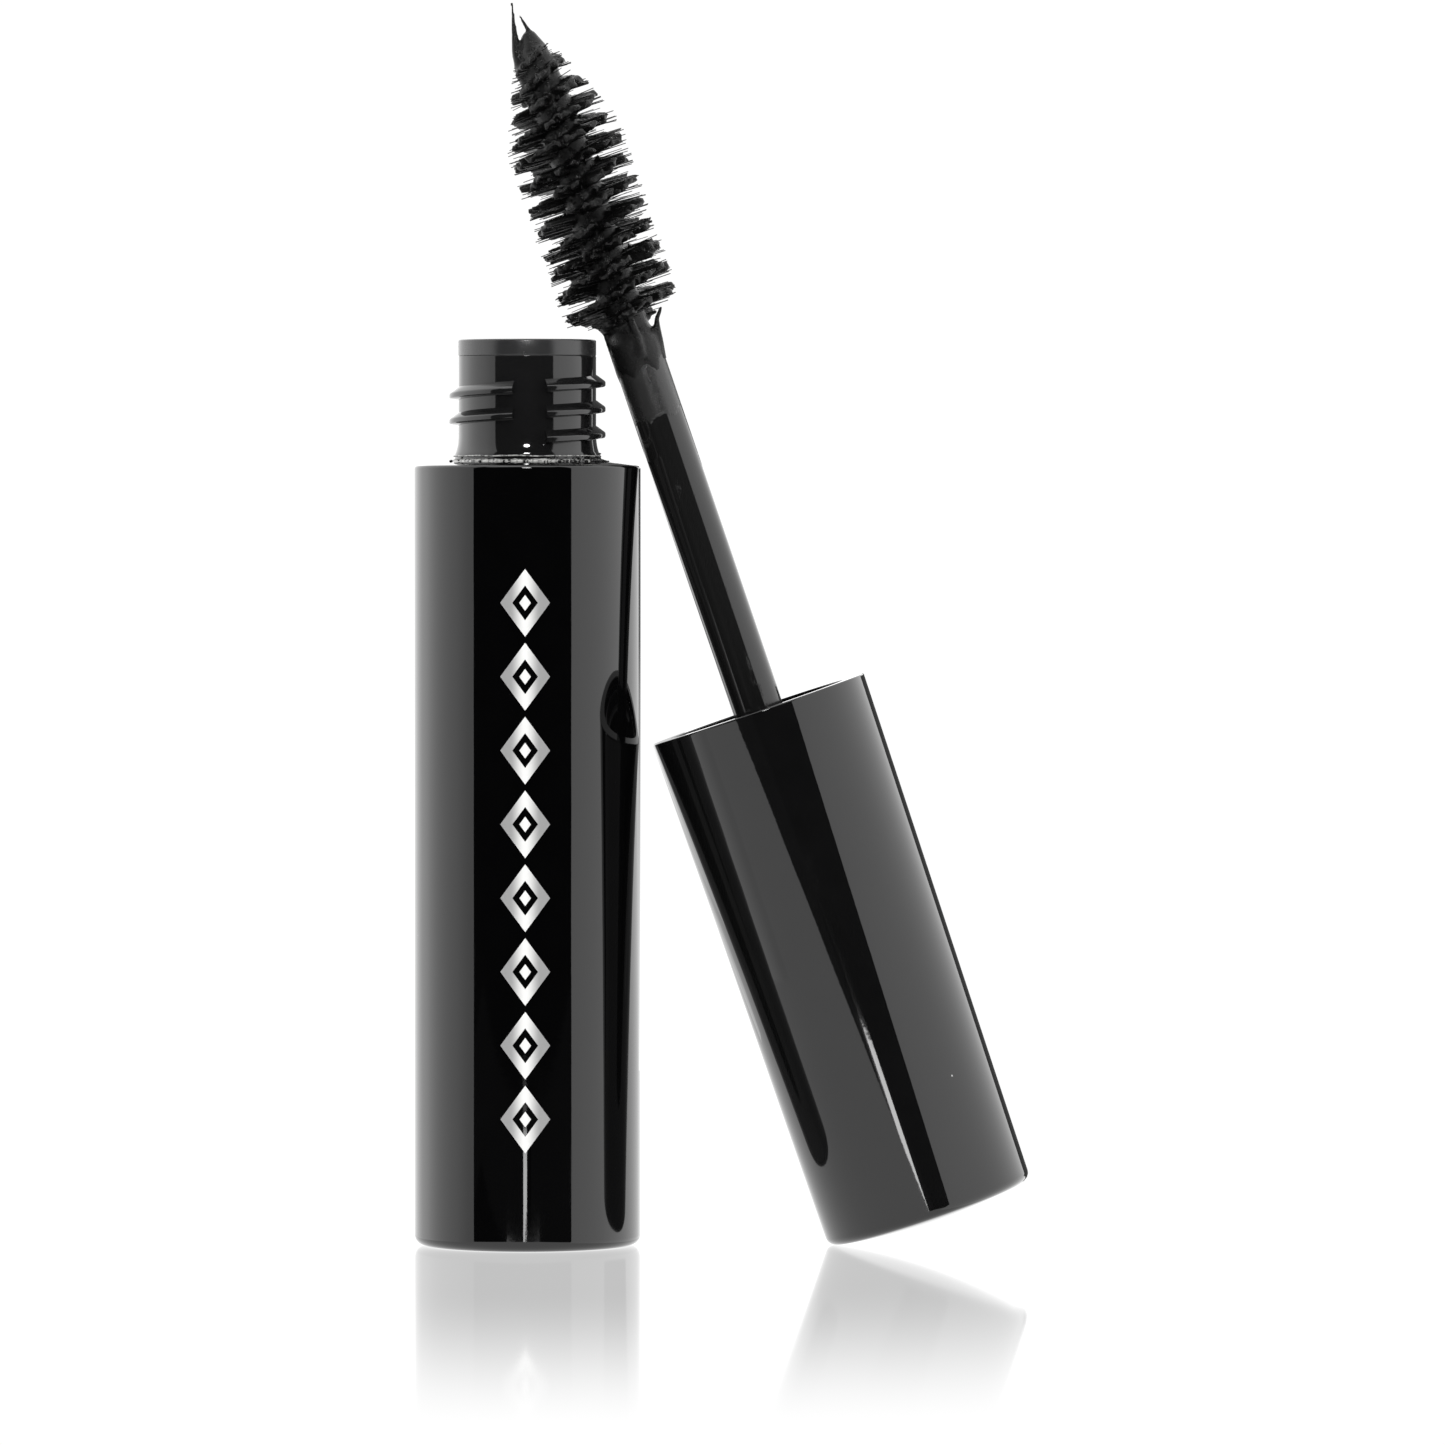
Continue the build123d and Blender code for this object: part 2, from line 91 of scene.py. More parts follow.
# ---- Node graphs ----
class Signal:
    """A node's output socket, on which arithmetic adds Math nodes."""

    def __init__(self, graph: "Graph", socket: bpy.types.NodeSocket) -> None:
        """Wraps one output socket of a graph."""
        self.graph = graph
        self.socket = socket

    def _maths(self, operation: str, first: Value, second: Value) -> "Signal":
        """Adds one Math node."""
        return self.graph.add("ShaderNodeMath", {"operation": operation}, {0: first, 1: second})

    def __add__(self, other: Value) -> "Signal":
        """Sum."""
        return self._maths("ADD", self, other)

    __radd__ = __add__

    def __sub__(self, other: Value) -> "Signal":
        """Difference."""
        return self._maths("SUBTRACT", self, other)

    def __rsub__(self, other: Value) -> "Signal":
        """Reflected difference."""
        return self._maths("SUBTRACT", other, self)

    def __mul__(self, other: Value) -> "Signal":
        """Product."""
        return self._maths("MULTIPLY", self, other)

    __rmul__ = __mul__

    def __truediv__(self, other: Value) -> "Signal":
        """Quotient."""
        return self._maths("DIVIDE", self, other)

    def larger(self, other: Value) -> "Signal":
        """The larger of two values."""
        return self._maths("MAXIMUM", self, other)

    def ramp(self, low: float, high: float) -> "Signal":
        """Goes from 0 at low to 1 at high, smoothly, and stays there.

        Args:
            low: Where it starts to rise.
            high: Where it gets to 1.

        Returns:
            The ramp.
        """
        settings = {"interpolation_type": "SMOOTHSTEP"}
        values = {"Value": self, "From Min": low, "From Max": high}
        return self.graph.add("ShaderNodeMapRange", settings, values)


class Graph:
    """A material's or world's nodes."""

    def __init__(self, tree: bpy.types.NodeTree) -> None:
        """Empties the tree and starts on it."""
        tree.nodes.clear()
        self.tree = tree

    def add(
        self,
        kind: str,
        settings: Optional[Mapping[str, object]] = None,
        values: Optional[Mapping[Union[str, int], Value]] = None,
        out: Union[str, int] = 0,
    ) -> Signal:
        """Adds one node.

        Args:
            kind: The node's type.
            settings: Its own settings, and "stops" for a colour ramp's (position, colour) pairs.
            values: Numbers or signals by socket.
            out: The output that is wanted.

        Returns:
            The node's output.
        """
        node = self.tree.nodes.new(kind)
        for name, setting in (settings or {}).items():
            if name == "stops":
                self._stops(node.color_ramp, setting)
            else:
                setattr(node, name, setting)
        for key, value in (values or {}).items():
            socket = node.inputs[key]
            if isinstance(value, Signal):
                self.tree.links.new(value.socket, socket)
            elif socket.type == "RGBA":
                socket.default_value = (*value, 1.0)
            else:
                socket.default_value = value
        return Signal(self, node.outputs[out]) if node.outputs else Signal(self, node.inputs[0])

    @staticmethod
    def _stops(ramp: bpy.types.ColorRamp, stops: Sequence[tuple[float, Colour]]) -> None:
        """Sets a colour ramp's stops, in rising order.

        Args:
            ramp: The ramp.
            stops: Its (position, colour) pairs, in rising order.
        """
        ramp.elements[0].position = stops[0][0]
        ramp.elements[1].position = stops[-1][0]
        for position, _ in stops[1:-1]:
            ramp.elements.new(position)
        for element, (_, colour) in zip(ramp.elements, stops):
            element.color = (*colour, 1.0)

    def blend(self, share: Value, first: Value, second: Value) -> Signal:
        """Mixes two colours."""
        return self.add("ShaderNodeMix", {"data_type": "RGBA"}, {0: share, 6: first, 7: second}, out=2)

    def stretch(self, vector: Signal, scale: Colour) -> Signal:
        """Scales a vector by axis."""
        return self.add("ShaderNodeVectorMath", {"operation": "MULTIPLY"}, {0: vector, 1: scale})

    def parts(self, vector: Signal) -> tuple[Signal, Signal, Signal]:
        """A vector's three numbers.

        Args:
            vector: The vector.

        Returns:
            Its x, y and z.
        """
        first = self.add("ShaderNodeSeparateXYZ", {}, {0: vector})
        sockets = first.socket.node.outputs
        return Signal(self, sockets[0]), Signal(self, sockets[1]), Signal(self, sockets[2])

    def noise(self, vector: Signal, scale: float, detail: float = 3.0, roughness: float = 0.5) -> Signal:
        """Fractal noise from 0 to 1."""
        values = {"Vector": vector, "Scale": scale, "Detail": detail, "Roughness": roughness}
        return self.add("ShaderNodeTexNoise", {}, values)

    def specks(self, vector: Signal, scale: float, size: float, share: float) -> Signal:
        """Scattered round specks, 1 inside them.

        Args:
            vector: Where the pattern is read.
            scale: Cells in one unit.
            size: A speck's size as a share of its cell.
            share: Share of the cells that have one.

        Returns:
            The mask.
        """
        cell = {"Vector": vector, "Scale": scale}
        near = self.add("ShaderNodeTexVoronoi", {}, cell, out="Distance")
        tint = self.add("ShaderNodeTexVoronoi", {}, cell, out="Color")
        draw, _, _ = self.parts(tint)
        return (1.0 - near.ramp(size * 0.6, size)) * draw.ramp(1.0 - share, 1.001 - share)

    def bump(self, height: Signal, distance: float, strength: float = 1.0) -> Signal:
        """A normal from a height that goes from 0 to 1 over a distance in metres."""
        return self.add("ShaderNodeBump", {}, {"Height": height, "Distance": distance, "Strength": strength})


def new_material(name: str) -> tuple[bpy.types.Material, Graph]:
    """Makes an empty material.

    Args:
        name: Its name.

    Returns:
        The material and its nodes.
    """
    material = bpy.data.materials.new(name)
    material.use_nodes = True
    return material, Graph(material.node_tree)


@dataclass(frozen=True)
class Seat:
    """The upright frame, in millimetres, that a group of pieces is made in."""

    origin: Point3 = (0.0, 0.0, 0.0)
    tilt: float = 0.0

    def matrix(self) -> Matrix:
        """Takes that frame's millimetres to the row frame's metres."""
        turn = Matrix.Rotation(self.tilt, 4, "Y")
        return Matrix.Translation(self.origin) @ turn @ Matrix.Scale(MM, 4)

    def coordinates(self, graph: Graph) -> Signal:
        """Object coordinates in that frame's millimetres.

        Args:
            graph: The material's nodes.

        Returns:
            The coordinates.
        """
        place = graph.add("ShaderNodeTexCoord", out="Object")
        values = {
            "Vector": place,
            "Location": self.origin,
            "Rotation": (0, self.tilt, 0),
            "Scale": (MM, MM, MM),
        }
        return graph.add("ShaderNodeMapping", {"vector_type": "TEXTURE"}, values)


TUBE_SEAT = Seat()


@dataclass(frozen=True)
class Surface:
    """What varies over a finish: the sockets that the pattern feeds."""

    colour: Value
    roughness: Value
    normal: Optional[Signal] = None
    metallic: Optional[Signal] = None


# ---- Finishes ----
@dataclass(frozen=True)
class Finish:
    """A surface with constants of its own and a pattern over it."""

    name: str
    colour: Colour
    roughness: float
    ior: float = 1.5
    metallic: float = 0.0

    def pattern(self, graph: Graph, where: Signal) -> Surface:
        """The plain surface; each finish gives its own."""
        return Surface(self.colour, self.roughness)

    def build(self, seat: Seat) -> bpy.types.Material:
        """Makes the material for pieces made in a seat.

        Args:
            seat: The frame that the pieces are made in.

        Returns:
            The material.
        """
        material, graph = new_material(self.name)
        surface = self.pattern(graph, seat.coordinates(graph))
        values = {
            "Base Color": surface.colour,
            "Roughness": surface.roughness,
            "IOR": self.ior,
            "Metallic": self.metallic if surface.metallic is None else surface.metallic,
        }
        if surface.normal is not None:
            values["Normal"] = surface.normal
        shader = graph.add("ShaderNodeBsdfPrincipled", {}, values)
        graph.add("ShaderNodeOutputMaterial", {}, {"Surface": shader})
        material.diffuse_color = (*self.colour, 1.0)
        return material


@dataclass(frozen=True)
class Gloss(Finish):
    """Polished moulded plastic: faint sink waves, hairline scratches, smudges and a little dust."""

    wave: float = 0.004
    wave_scale: float = 0.09
    dust: float = 0.02
    smudge: float = 0.05
    dust_colour: Colour = (0.3, 0.3, 0.3)

    def pattern(self, graph: Graph, where: Signal) -> Surface:
        """Keeps reflections sharp but for slight waves and marks.

        Args:
            graph: The material's nodes.
            where: Coordinates in the seat's millimetres.

        Returns:
            What varies over the surface.
        """
        waves = graph.noise(graph.stretch(where, (1.0, 1.0, 0.35)), self.wave_scale, 2.0, 0.4)
        peel = graph.noise(where, 1.6, 2.0)
        hairs = graph.noise(graph.stretch(where, (9.0, 9.0, 0.35)), 1.4, 4.0, 0.7).ramp(0.66, 0.78)
        smears = graph.noise(graph.stretch(where, (1.0, 1.0, 0.5)), 0.22, 5.0, 0.6).ramp(0.5, 0.75)
        dust = graph.specks(where, 0.55, 0.06, self.dust)
        tint = graph.blend(graph.noise(where, 0.35), self.colour, tuple(0.6 * c for c in self.colour))
        colour = graph.blend(dust, tint, self.dust_colour)
        roughness = self.roughness + smears * self.smudge + hairs * 0.03 + dust * 0.5
        relief = waves + peel * 0.012 + hairs * 0.002 + dust * 0.15
        return Surface(colour, roughness, graph.bump(relief, self.wave * MM * 10))


@dataclass(frozen=True)
class Satin(Finish):
    """Softer moulded plastic with a fine grain and flow marks."""

    grain: float = 0.004
    mottling: float = 0.35

    def pattern(self, graph: Graph, where: Signal) -> Surface:
        """A fine grain, with flow marks along the piece.

        Args:
            graph: The material's nodes.
            where: Coordinates in the seat's millimetres.

        Returns:
            What varies over the surface.
        """
        grain = graph.noise(where, 7.0, 3.0, 0.6)
        flow = graph.noise(graph.stretch(where, (1.0, 1.0, 0.3)), 0.6, 4.0, 0.6)
        tint = graph.blend(flow * self.mottling, self.colour, tuple(1.9 * c + 0.004 for c in self.colour))
        roughness = self.roughness + (flow - 0.5) * 0.2 + (grain - 0.5) * 0.06
        return Surface(tint, roughness, graph.bump(grain + flow * 0.6, self.grain * MM))


@dataclass(frozen=True)
class Smeared(Finish):
    """Gloss stem with dried mascara in streaks along it and thicker towards the brush."""

    brush_end: float = 31.8
    film_length: float = 6.2
    film_colour: Colour = (0.009, 0.009, 0.009)

    def pattern(self, graph: Graph, where: Signal) -> Surface:
        """Streaked, speckled film over gloss.

        Args:
            graph: The material's nodes.
            where: Coordinates in the seat's millimetres.

        Returns:
            What varies over the surface.
        """
        _, _, along = graph.parts(where)
        streaks = graph.noise(graph.stretch(where, (1.0, 1.0, 0.16)), 1.3, 5.0, 0.62)
        crumbs = graph.noise(where, 4.5, 4.0, 0.7)
        ragged = graph.noise(graph.stretch(where, (1.0, 1.0, 0.5)), 0.7, 4.0, 0.6)
        near = (along + ragged * 2.4 + self.film_length - self.brush_end - 1.2).ramp(-0.06, 0.1)
        specks = (streaks * 0.7 + crumbs * 0.3).ramp(0.6, 0.72) * 0.3
        film = near * (1.0 - specks) + specks
        colour = graph.blend(film, self.colour, self.film_colour)
        roughness = self.roughness + film * (0.04 + 0.24 * streaks) + (crumbs - 0.5) * 0.12 * film
        relief = film * (0.35 + crumbs)
        return Surface(colour, roughness, graph.bump(relief, 0.05 * MM, 0.7))


@dataclass(frozen=True)
class Wet(Finish):
    """Wet mascara: black paste with a ropy, clotted surface and glints."""

    relief: float = 0.09

    def pattern(self, graph: Graph, where: Signal) -> Surface:
        """Clots, fine ropes and wetter patches.

        Args:
            graph: The material's nodes.
            where: Coordinates in the seat's millimetres.

        Returns:
            What varies over the surface.
        """
        clots = graph.noise(where, 1.7, 5.0, 0.62)
        ropes = graph.noise(graph.stretch(where, (1.0, 1.0, 2.2)), 3.6, 4.0, 0.6)
        wet = graph.noise(where, 1.7, 3.0).ramp(0.5, 0.66)
        colour = graph.blend(clots, self.colour, tuple(2.4 * c for c in self.colour))
        roughness = self.roughness + 0.26 - 0.22 * wet + (ropes - 0.5) * 0.16
        return Surface(colour, roughness, graph.bump(clots * 0.6 + ropes * 0.6, self.relief * MM))


@dataclass(frozen=True)
class Fibre(Finish):
    """Nylon fibres with mascara on them in beads."""

    bare_colour: Colour = (0.03, 0.03, 0.031)

    def pattern(self, graph: Graph, where: Signal) -> Surface:
        """Beaded coat, bare in places.

        Args:
            graph: The material's nodes.
            where: Coordinates in the seat's millimetres.

        Returns:
            What varies over the surface.
        """
        beads = graph.noise(where, 3.4, 4.0, 0.6)
        bare = beads.ramp(0.55, 0.7)
        colour = graph.blend(bare, self.colour, self.bare_colour)
        return Surface(colour, self.roughness + bare * 0.15, graph.bump(beads, 0.03 * MM))


@dataclass(frozen=True)
class HotFoil(Finish):
    """Hot-stamped silver foil with flecks and a fine brushed grain, and painted shade: brightest in its
    middle and darker towards its edges.
    """

    half_width: float = 2.05
    # The foil's colour at the column's edges is painted shade, where light would fall off round the sleeve.
    shaded_edge_colour: Colour = (0.232, 0.232, 0.232)
    fleck_colour: Colour = (0.5, 0.5, 0.5)

    def pattern(self, graph: Graph, where: Signal) -> Surface:
        """Painted shade: a soft roll-off in brightness from the middle to the edges of the column.

        Args:
            graph: The material's nodes.
            where: Coordinates in the seat's millimetres.

        Returns:
            What varies over the surface.
        """
        across, _, _ = graph.parts(where)
        side = (across / self.half_width).larger(across / -self.half_width)
        grain = graph.noise(graph.stretch(where, (0.4, 1.0, 6.0)), 2.2, 3.0, 0.6)
        flecks = graph.noise(where, 5.0, 3.0, 0.7).ramp(0.62, 0.74)
        # Painted shade: the foil darkens from its middle towards its edges, as light would fall off round the
        # sleeve.
        shade = graph.blend(side.ramp(0.02, 0.62), self.colour, self.shaded_edge_colour)
        colour = graph.blend(flecks * 0.12, shade, self.fleck_colour)
        roughness = self.roughness + (grain - 0.5) * 0.16 + flecks * 0.1
        return Surface(colour, roughness, graph.bump(grain + flecks * 0.5, 0.004 * MM))


@dataclass(frozen=True)
class Glue(Finish):
    """Dried clear adhesive that has turned pale, with darker clots in it."""

    clot_colour: Colour = (0.07, 0.07, 0.07)

    def pattern(self, graph: Graph, where: Signal) -> Surface:
        """Pale and dark clots.

        Args:
            graph: The material's nodes.
            where: Coordinates in the seat's millimetres.

        Returns:
            What varies over the surface.
        """
        clots = graph.noise(where, 2.9, 5.0, 0.7)
        dark = clots.ramp(0.46, 0.58)
        fine = graph.noise(where, 7.0, 3.0, 0.6)
        colour = graph.blend(dark, self.colour, self.clot_colour)
        return Surface(colour, self.roughness + fine * 0.25, graph.bump(clots + fine * 0.4, 0.05 * MM))


@dataclass(frozen=True)
class Steel(Finish):
    """Drawn steel wire."""

    line_colour: Colour = (0.32, 0.32, 0.33)

    def pattern(self, graph: Graph, where: Signal) -> Surface:
        """Draw lines along the wire.

        Args:
            graph: The material's nodes.
            where: Coordinates in the seat's millimetres.

        Returns:
            What varies over the surface.
        """
        lines = graph.noise(graph.stretch(where, (8.0, 8.0, 0.5)), 3.0, 3.0)
        colour = graph.blend(lines, self.colour, self.line_colour)
        return Surface(colour, self.roughness + lines * 0.15, graph.bump(lines, 0.004 * MM))


# ---- Meshes ----
def add_object(name: str, data: bpy.types.ID) -> bpy.types.Object:
    """Makes an object and links it to the scene.

    Args:
        name: Its name.
        data: Its mesh, camera or light.

    Returns:
        The object.
    """
    made = bpy.data.objects.new(name, data)
    bpy.context.scene.collection.objects.link(made)
    return made


def add_mesh(name: str, bm: bmesh.types.BMesh) -> bpy.types.Object:
    """Makes an object from a bmesh, which is freed.

    Args:
        name: Its name.
        bm: The mesh, in metres.

    Returns:
        The object.
    """
    data = bpy.data.meshes.new(name)
    bm.to_mesh(data)
    bm.free()
    return add_object(name, data)


class Shape:
    """A mesh in the making, in millimetres, upright on its own axis."""

    def __init__(self) -> None:
        """Starts with nothing."""
        self.bm = bmesh.new()

    def wire(
        self,
        points: Sequence[Point2],
        rounds: Optional[Mapping[int, float]] = None,
        closed: bool = False,
    ) -> "Shape":
        """Adds a wire of (radius, height) corners.

        Args:
            points: The corners in order.
            rounds: Radius by corner, for the corners that are rounded.
            closed: Joins the last corner to the first.

        Returns:
            Itself.
        """
        verts = [self.bm.verts.new((r, 0.0, z)) for r, z in points]
        for pair in zip(verts, verts[1:]):
            self.bm.edges.new(pair)
        if closed:
            self.bm.edges.new((verts[-1], verts[0]))
        for index, radius in (rounds or {}).items():
            bmesh.ops.bevel(
                self.bm,
                geom=[verts[index]],
                offset=radius,
                offset_type="OFFSET",
                segments=CORNER_STEPS,
                profile=0.5,
                affect="VERTICES",
                material=-1,
            )
        return self

    def sweep(
        self, geom: Sequence[object], angle: float, steps: int, rise: float = 0.0, merge: bool = False
    ) -> None:
        """Spins some of the mesh round the upright axis.

        Args:
            geom: Its vertices, edges and faces.
            angle: How far it goes round, in radians.
            steps: Steps round.
            rise: How far it climbs on the way.
            merge: Joins the last step to the first.
        """
        bmesh.ops.spin(
            self.bm,
            geom=geom,
            cent=(0, 0, 0),
            axis=(0, 0, 1),
            dvec=(0, 0, rise / steps),
            angle=angle,
            steps=steps,
            use_merge=merge,
        )

    def turn(self, steps: int = TURN_STEPS) -> "Shape":
        """Spins all there is once round the upright axis."""
        self.sweep([*self.bm.verts, *self.bm.edges], math.tau, steps, merge=True)
        return self.close()

    def ridge(
        self, section: Sequence[Point2], start: float, sweep: float, rise: float, steps: int = 40
    ) -> "Shape":
        """Adds one thread ridge: a section swept round and up.

        Args:
            section: Its (radius, height) corners.
            start: Where it starts round the axis, in radians.
            sweep: How far it goes round, in radians.
            rise: How far it climbs on the way.
            steps: Steps round.

        Returns:
            Itself.
        """
        verts = [self.bm.verts.new((r, 0.0, z)) for r, z in section]
        face = self.bm.faces.new(verts)
        bmesh.ops.rotate(self.bm, verts=verts, cent=(0, 0, 0), matrix=Matrix.Rotation(start, 3, "Z"))
        self.sweep([face, *face.edges, *verts], sweep, steps, rise)
        return self

    def close(self) -> "Shape":
        """Merges doubles and turns the faces outwards."""
        bmesh.ops.remove_doubles(self.bm, verts=self.bm.verts, dist=MERGE_DISTANCE)
        bmesh.ops.recalc_face_normals(self.bm, faces=self.bm.faces)
        return self

    def shift(self, move: Callable[[Vector], Vector]) -> "Shape":
        """Moves every vertex by a rule.

        Args:
            move: Takes a vertex's place to its new one.

        Returns:
            Itself.
        """
        for vert in self.bm.verts:
            vert.co = move(vert.co)
        return self

    def cone(self, foot: Vector, tip: Vector, foot_r: float, tip_r: float, sides: int = 5) -> "Shape":
        """Adds a closed cone between two points.

        Args:
            foot: Middle of its first end.
            tip: Middle of its other end.
            foot_r: Radius at the foot.
            tip_r: Radius at the tip.
            sides: Sides round.

        Returns:
            Itself.
        """
        run = tip - foot
        turn = Vector((0, 0, 1)).rotation_difference(run).to_matrix().to_4x4()
        place = Matrix.Translation((foot + tip) / 2) @ turn
        bmesh.ops.create_cone(
            self.bm,
            cap_ends=True,
            segments=sides,
            radius1=foot_r,
            radius2=tip_r,
            depth=run.length,
            matrix=place,
        )
        return self

    def lump(self, centre: Vector, size: Vector, detail: int = 2) -> "Shape":
        """Adds a stretched ball.

        Args:
            centre: Its middle.
            size: Its half sizes.
            detail: Subdivisions.

        Returns:
            Itself.
        """
        place = Matrix.Translation(centre) @ Matrix.Diagonal((*size, 1.0))
        bmesh.ops.create_icosphere(self.bm, subdivisions=detail, radius=1.0, matrix=place)
        return self

    def mesh(self, name: str, place: Matrix) -> bpy.types.Object:
        """Makes the object, with its place in its mesh.

        Args:
            name: Its name.
            place: Takes the shape's millimetres to metres.

        Returns:
            The object.
        """
        for face in self.bm.faces:
            face.smooth = True
        for edge in self.bm.edges:
            edge.smooth = edge.calc_face_angle(0.0) < SHARP_ANGLE
        bmesh.ops.transform(self.bm, matrix=place, verts=self.bm.verts)
        return add_mesh(name, self.bm)


def voxel_merge(piece: bpy.types.Object, size: float, faces: int) -> None:
    """Melts a piece's overlapping parts into one skin.

    Args:
        piece: The piece, which gets the new mesh.
        size: Voxel size in metres.
        faces: Most triangles that are wanted.
    """
    remesh = piece.modifiers.new("merge", "REMESH")
    remesh.mode = "VOXEL"
    remesh.voxel_size = size
    remesh.use_smooth_shade = True
    bake_modifiers(piece)
    triangles = 2 * len(piece.data.polygons)
    if triangles > faces:
        thin = piece.modifiers.new("thin", "DECIMATE")
        thin.ratio = faces / triangles
        bake_modifiers(piece)
    for polygon in piece.data.polygons:
        polygon.use_smooth = True


def bake_modifiers(piece: bpy.types.Object) -> None:
    """Puts the modifiers' result in the mesh and removes them.

    Args:
        piece: The piece.
    """
    depsgraph = bpy.context.evaluated_depsgraph_get()
    depsgraph.update()
    data = bpy.data.meshes.new_from_object(piece.evaluated_get(depsgraph))
    data.name = piece.name
    piece.modifiers.clear()
    piece.data = data


@dataclass(frozen=True)
class Job:
    """What a finished piece belongs to."""

    body: Body
    slot: Slot
    seat: Seat
    replaces: tuple[str, ...] = ()

    def make(self, shape: Shape, name: str, finish: Finish, even: bool = False) -> None:
        """Makes a shape a named piece with its finish."""
        self.give(shape.mesh(name, self.seat.matrix()), finish, even)

    def give(self, piece: bpy.types.Object, finish: Finish, even: bool = False) -> None:
        """Dresses a piece and hangs it on its body.

        Args:
            piece: The piece.
            finish: Its finish.
            even: Weighs its normals by face area, so that flat runs stay flat beside rounded edges.
        """
        piece.data.materials.clear()
        piece.data.materials.append(finish.build(self.seat))
        if even:
            weights = piece.modifiers.new("even", "WEIGHTED_NORMAL")
            weights.keep_sharp = True
        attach(piece, self.body.value)
        if self.replaces:
            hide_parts(*self.replaces)
        LOG.info("%s: %d faces, on %s", piece.name, len(piece.data.polygons), self.body.value)


def dress_node(node: str, finish: Finish, seat: Seat) -> None:
    """Gives a CAD node a material on its object, and leaves its mesh as it is.

    Args:
        node: The node.
        finish: Its finish.
        seat: The frame that it was made in.
    """
    material = finish.build(seat)
    piece = frame["nodes"][node]
    if not piece.material_slots:
        piece.data.materials.append(material)
    for slot in piece.material_slots:
        slot.link = "OBJECT"
        slot.material = material
    LOG.info("%s: dressed", node)


# ---- The tube ----
@dataclass
class Sleeve:
    """Gloss sleeve with a low conical shoulder, its base plug and the blank label."""

    radius: float = 9.4
    wall: float = 1.2
    height: float = 64.7
    rise: float = 0.36
    hole: float = 6.205
    base_round: float = 0.9
    top_round: float = 0.25
    shoulder_wall: float = 1.0
    finish: Finish = Gloss("sleeve_gloss_black", (0.0012, 0.0012, 0.0013), 0.03)
    plug_finish: Finish = Satin("base_plug_black", (0.008, 0.008, 0.008), 0.28)
    label_finish: Finish = Satin("label_white_film", (0.72, 0.72, 0.71), 0.45, grain=0.002, mottling=0.05)

    def build(self) -> None:
        """Makes the sleeve and dresses the plug and the label."""
        under = self.height - self.shoulder_wall
        outline = [
            (self.hole, self.height + self.rise),
            (self.radius, self.height),
            (self.radius, 0.0),
            (self.radius - self.wall, 0.0),
            (self.radius - self.wall, under),
            (self.hole, under),
        ]
        shape = Shape().wire(outline, {1: self.top_round, 2: self.base_round}, closed=True).turn()
        job = Job(Body.TUBE, Slot.SLEEVE, TUBE_SEAT, ("outer_sleeve",))
        job.make(shape, "sleeve", self.finish, even=True)
        dress_node("base_plug", self.plug_finish, TUBE_SEAT)
        dress_node("shade_label", self.label_finish, TUBE_SEAT)


@dataclass
class FoilColumn:
    """A column of plain silver diamonds on the sleeve's front."""

    radius: float = 9.4
    width: float = 4.1
    length: float = 48.5
    centre: float = 32.2
    cells: int = 8
    gap: float = 0.5
    line: float = 0.8
    middle_share: float = 0.45
    thickness: float = 0.05
    cuts: int = 7
    finish: Finish = HotFoil("foil_silver", (0.61, 0.61, 0.6), 0.4, metallic=0.1)

    def _diamond(
        self, shape: Shape, centre: float, half_width: float, half_height: float
    ) -> bmesh.types.BMFace:
        """Adds one flat diamond.

        Args:
            shape: The flat column.
            centre: Height of its middle.
            half_width: Half its width.
            half_height: Half its height.

        Returns:
            Its face.
        """
        made = bmesh.ops.create_circle(shape.bm, cap_ends=True, segments=4, radius=1.0)
        verts = made["verts"]
        bmesh.ops.scale(shape.bm, vec=(half_width, half_height, 1.0), verts=verts)
        bmesh.ops.translate(shape.bm, vec=(0.0, centre, 0.0), verts=verts)
        return verts[0].link_faces[0]

    def _wrap(self, flat: Vector) -> Vector:
        """Takes a point of the flat column to the sleeve's front.

        Args:
            flat: The point, with its lift off the sleeve as z.

        Returns:
            The place on the sleeve.
        """
        angle = flat.x / self.radius
        radius = self.radius + flat.z
        return Vector((radius * math.sin(angle), -radius * math.cos(angle), flat.y))

    def build(self) -> None:
        """Makes the diamonds flat, gives them their thickness, and wraps them on the sleeve."""
        shape = Shape()
        step = self.length / self.cells
        half_w, half_h = self.width / 2, (step - self.gap) / 2
        open_w = half_w - self.line * math.hypot(half_w, half_h) / half_h
        for cell in range(self.cells):
            height = self.centre + (cell - (self.cells - 1) / 2) * step
            face = self._diamond(shape, height, half_w, half_h)
            bmesh.ops.inset_region(
                shape.bm, faces=[face], thickness=self.line, use_even_offset=True, use_boundary=True
            )
            bmesh.ops.delete(shape.bm, geom=[face], context="FACES")
            share = self.middle_share
            self._diamond(shape, height, open_w * share, open_w * half_h / half_w * share)
        bmesh.ops.subdivide_edges(shape.bm, edges=shape.bm.edges, cuts=self.cuts, use_grid_fill=True)
        bmesh.ops.triangulate(shape.bm, faces=[f for f in shape.bm.faces if len(f.verts) > 4])
        lifted = bmesh.ops.extrude_face_region(shape.bm, geom=shape.bm.faces[:])
        top = [v for v in lifted["geom"] if isinstance(v, bmesh.types.BMVert)]
        bmesh.ops.translate(shape.bm, vec=(0, 0, self.thickness), verts=top)
        shape.close().shift(self._wrap)
        Job(Body.TUBE, Slot.FOIL, TUBE_SEAT, ("foil_motif",)).make(shape, "foil_diamonds", self.finish)


# The adhesive's lumps: how fine they are and how much they count.
BEAD_LUMPS = ((1.1, 0.5), (4.3, 0.5), (9.0, 0.3))
# Angles round the adhesive drip's section.
DRIP_ANGLES = tuple(math.tau * step / 10 for step in range(10))
# A thread ridge's corners between its two roots: (radius past the crest, height).
RIDGE_CORNERS = ((-0.09, -0.17), (-0.02, -0.11), (0.0, -0.02), (0.0, 0.16), (-0.03, 0.24), (-0.1, 0.31))


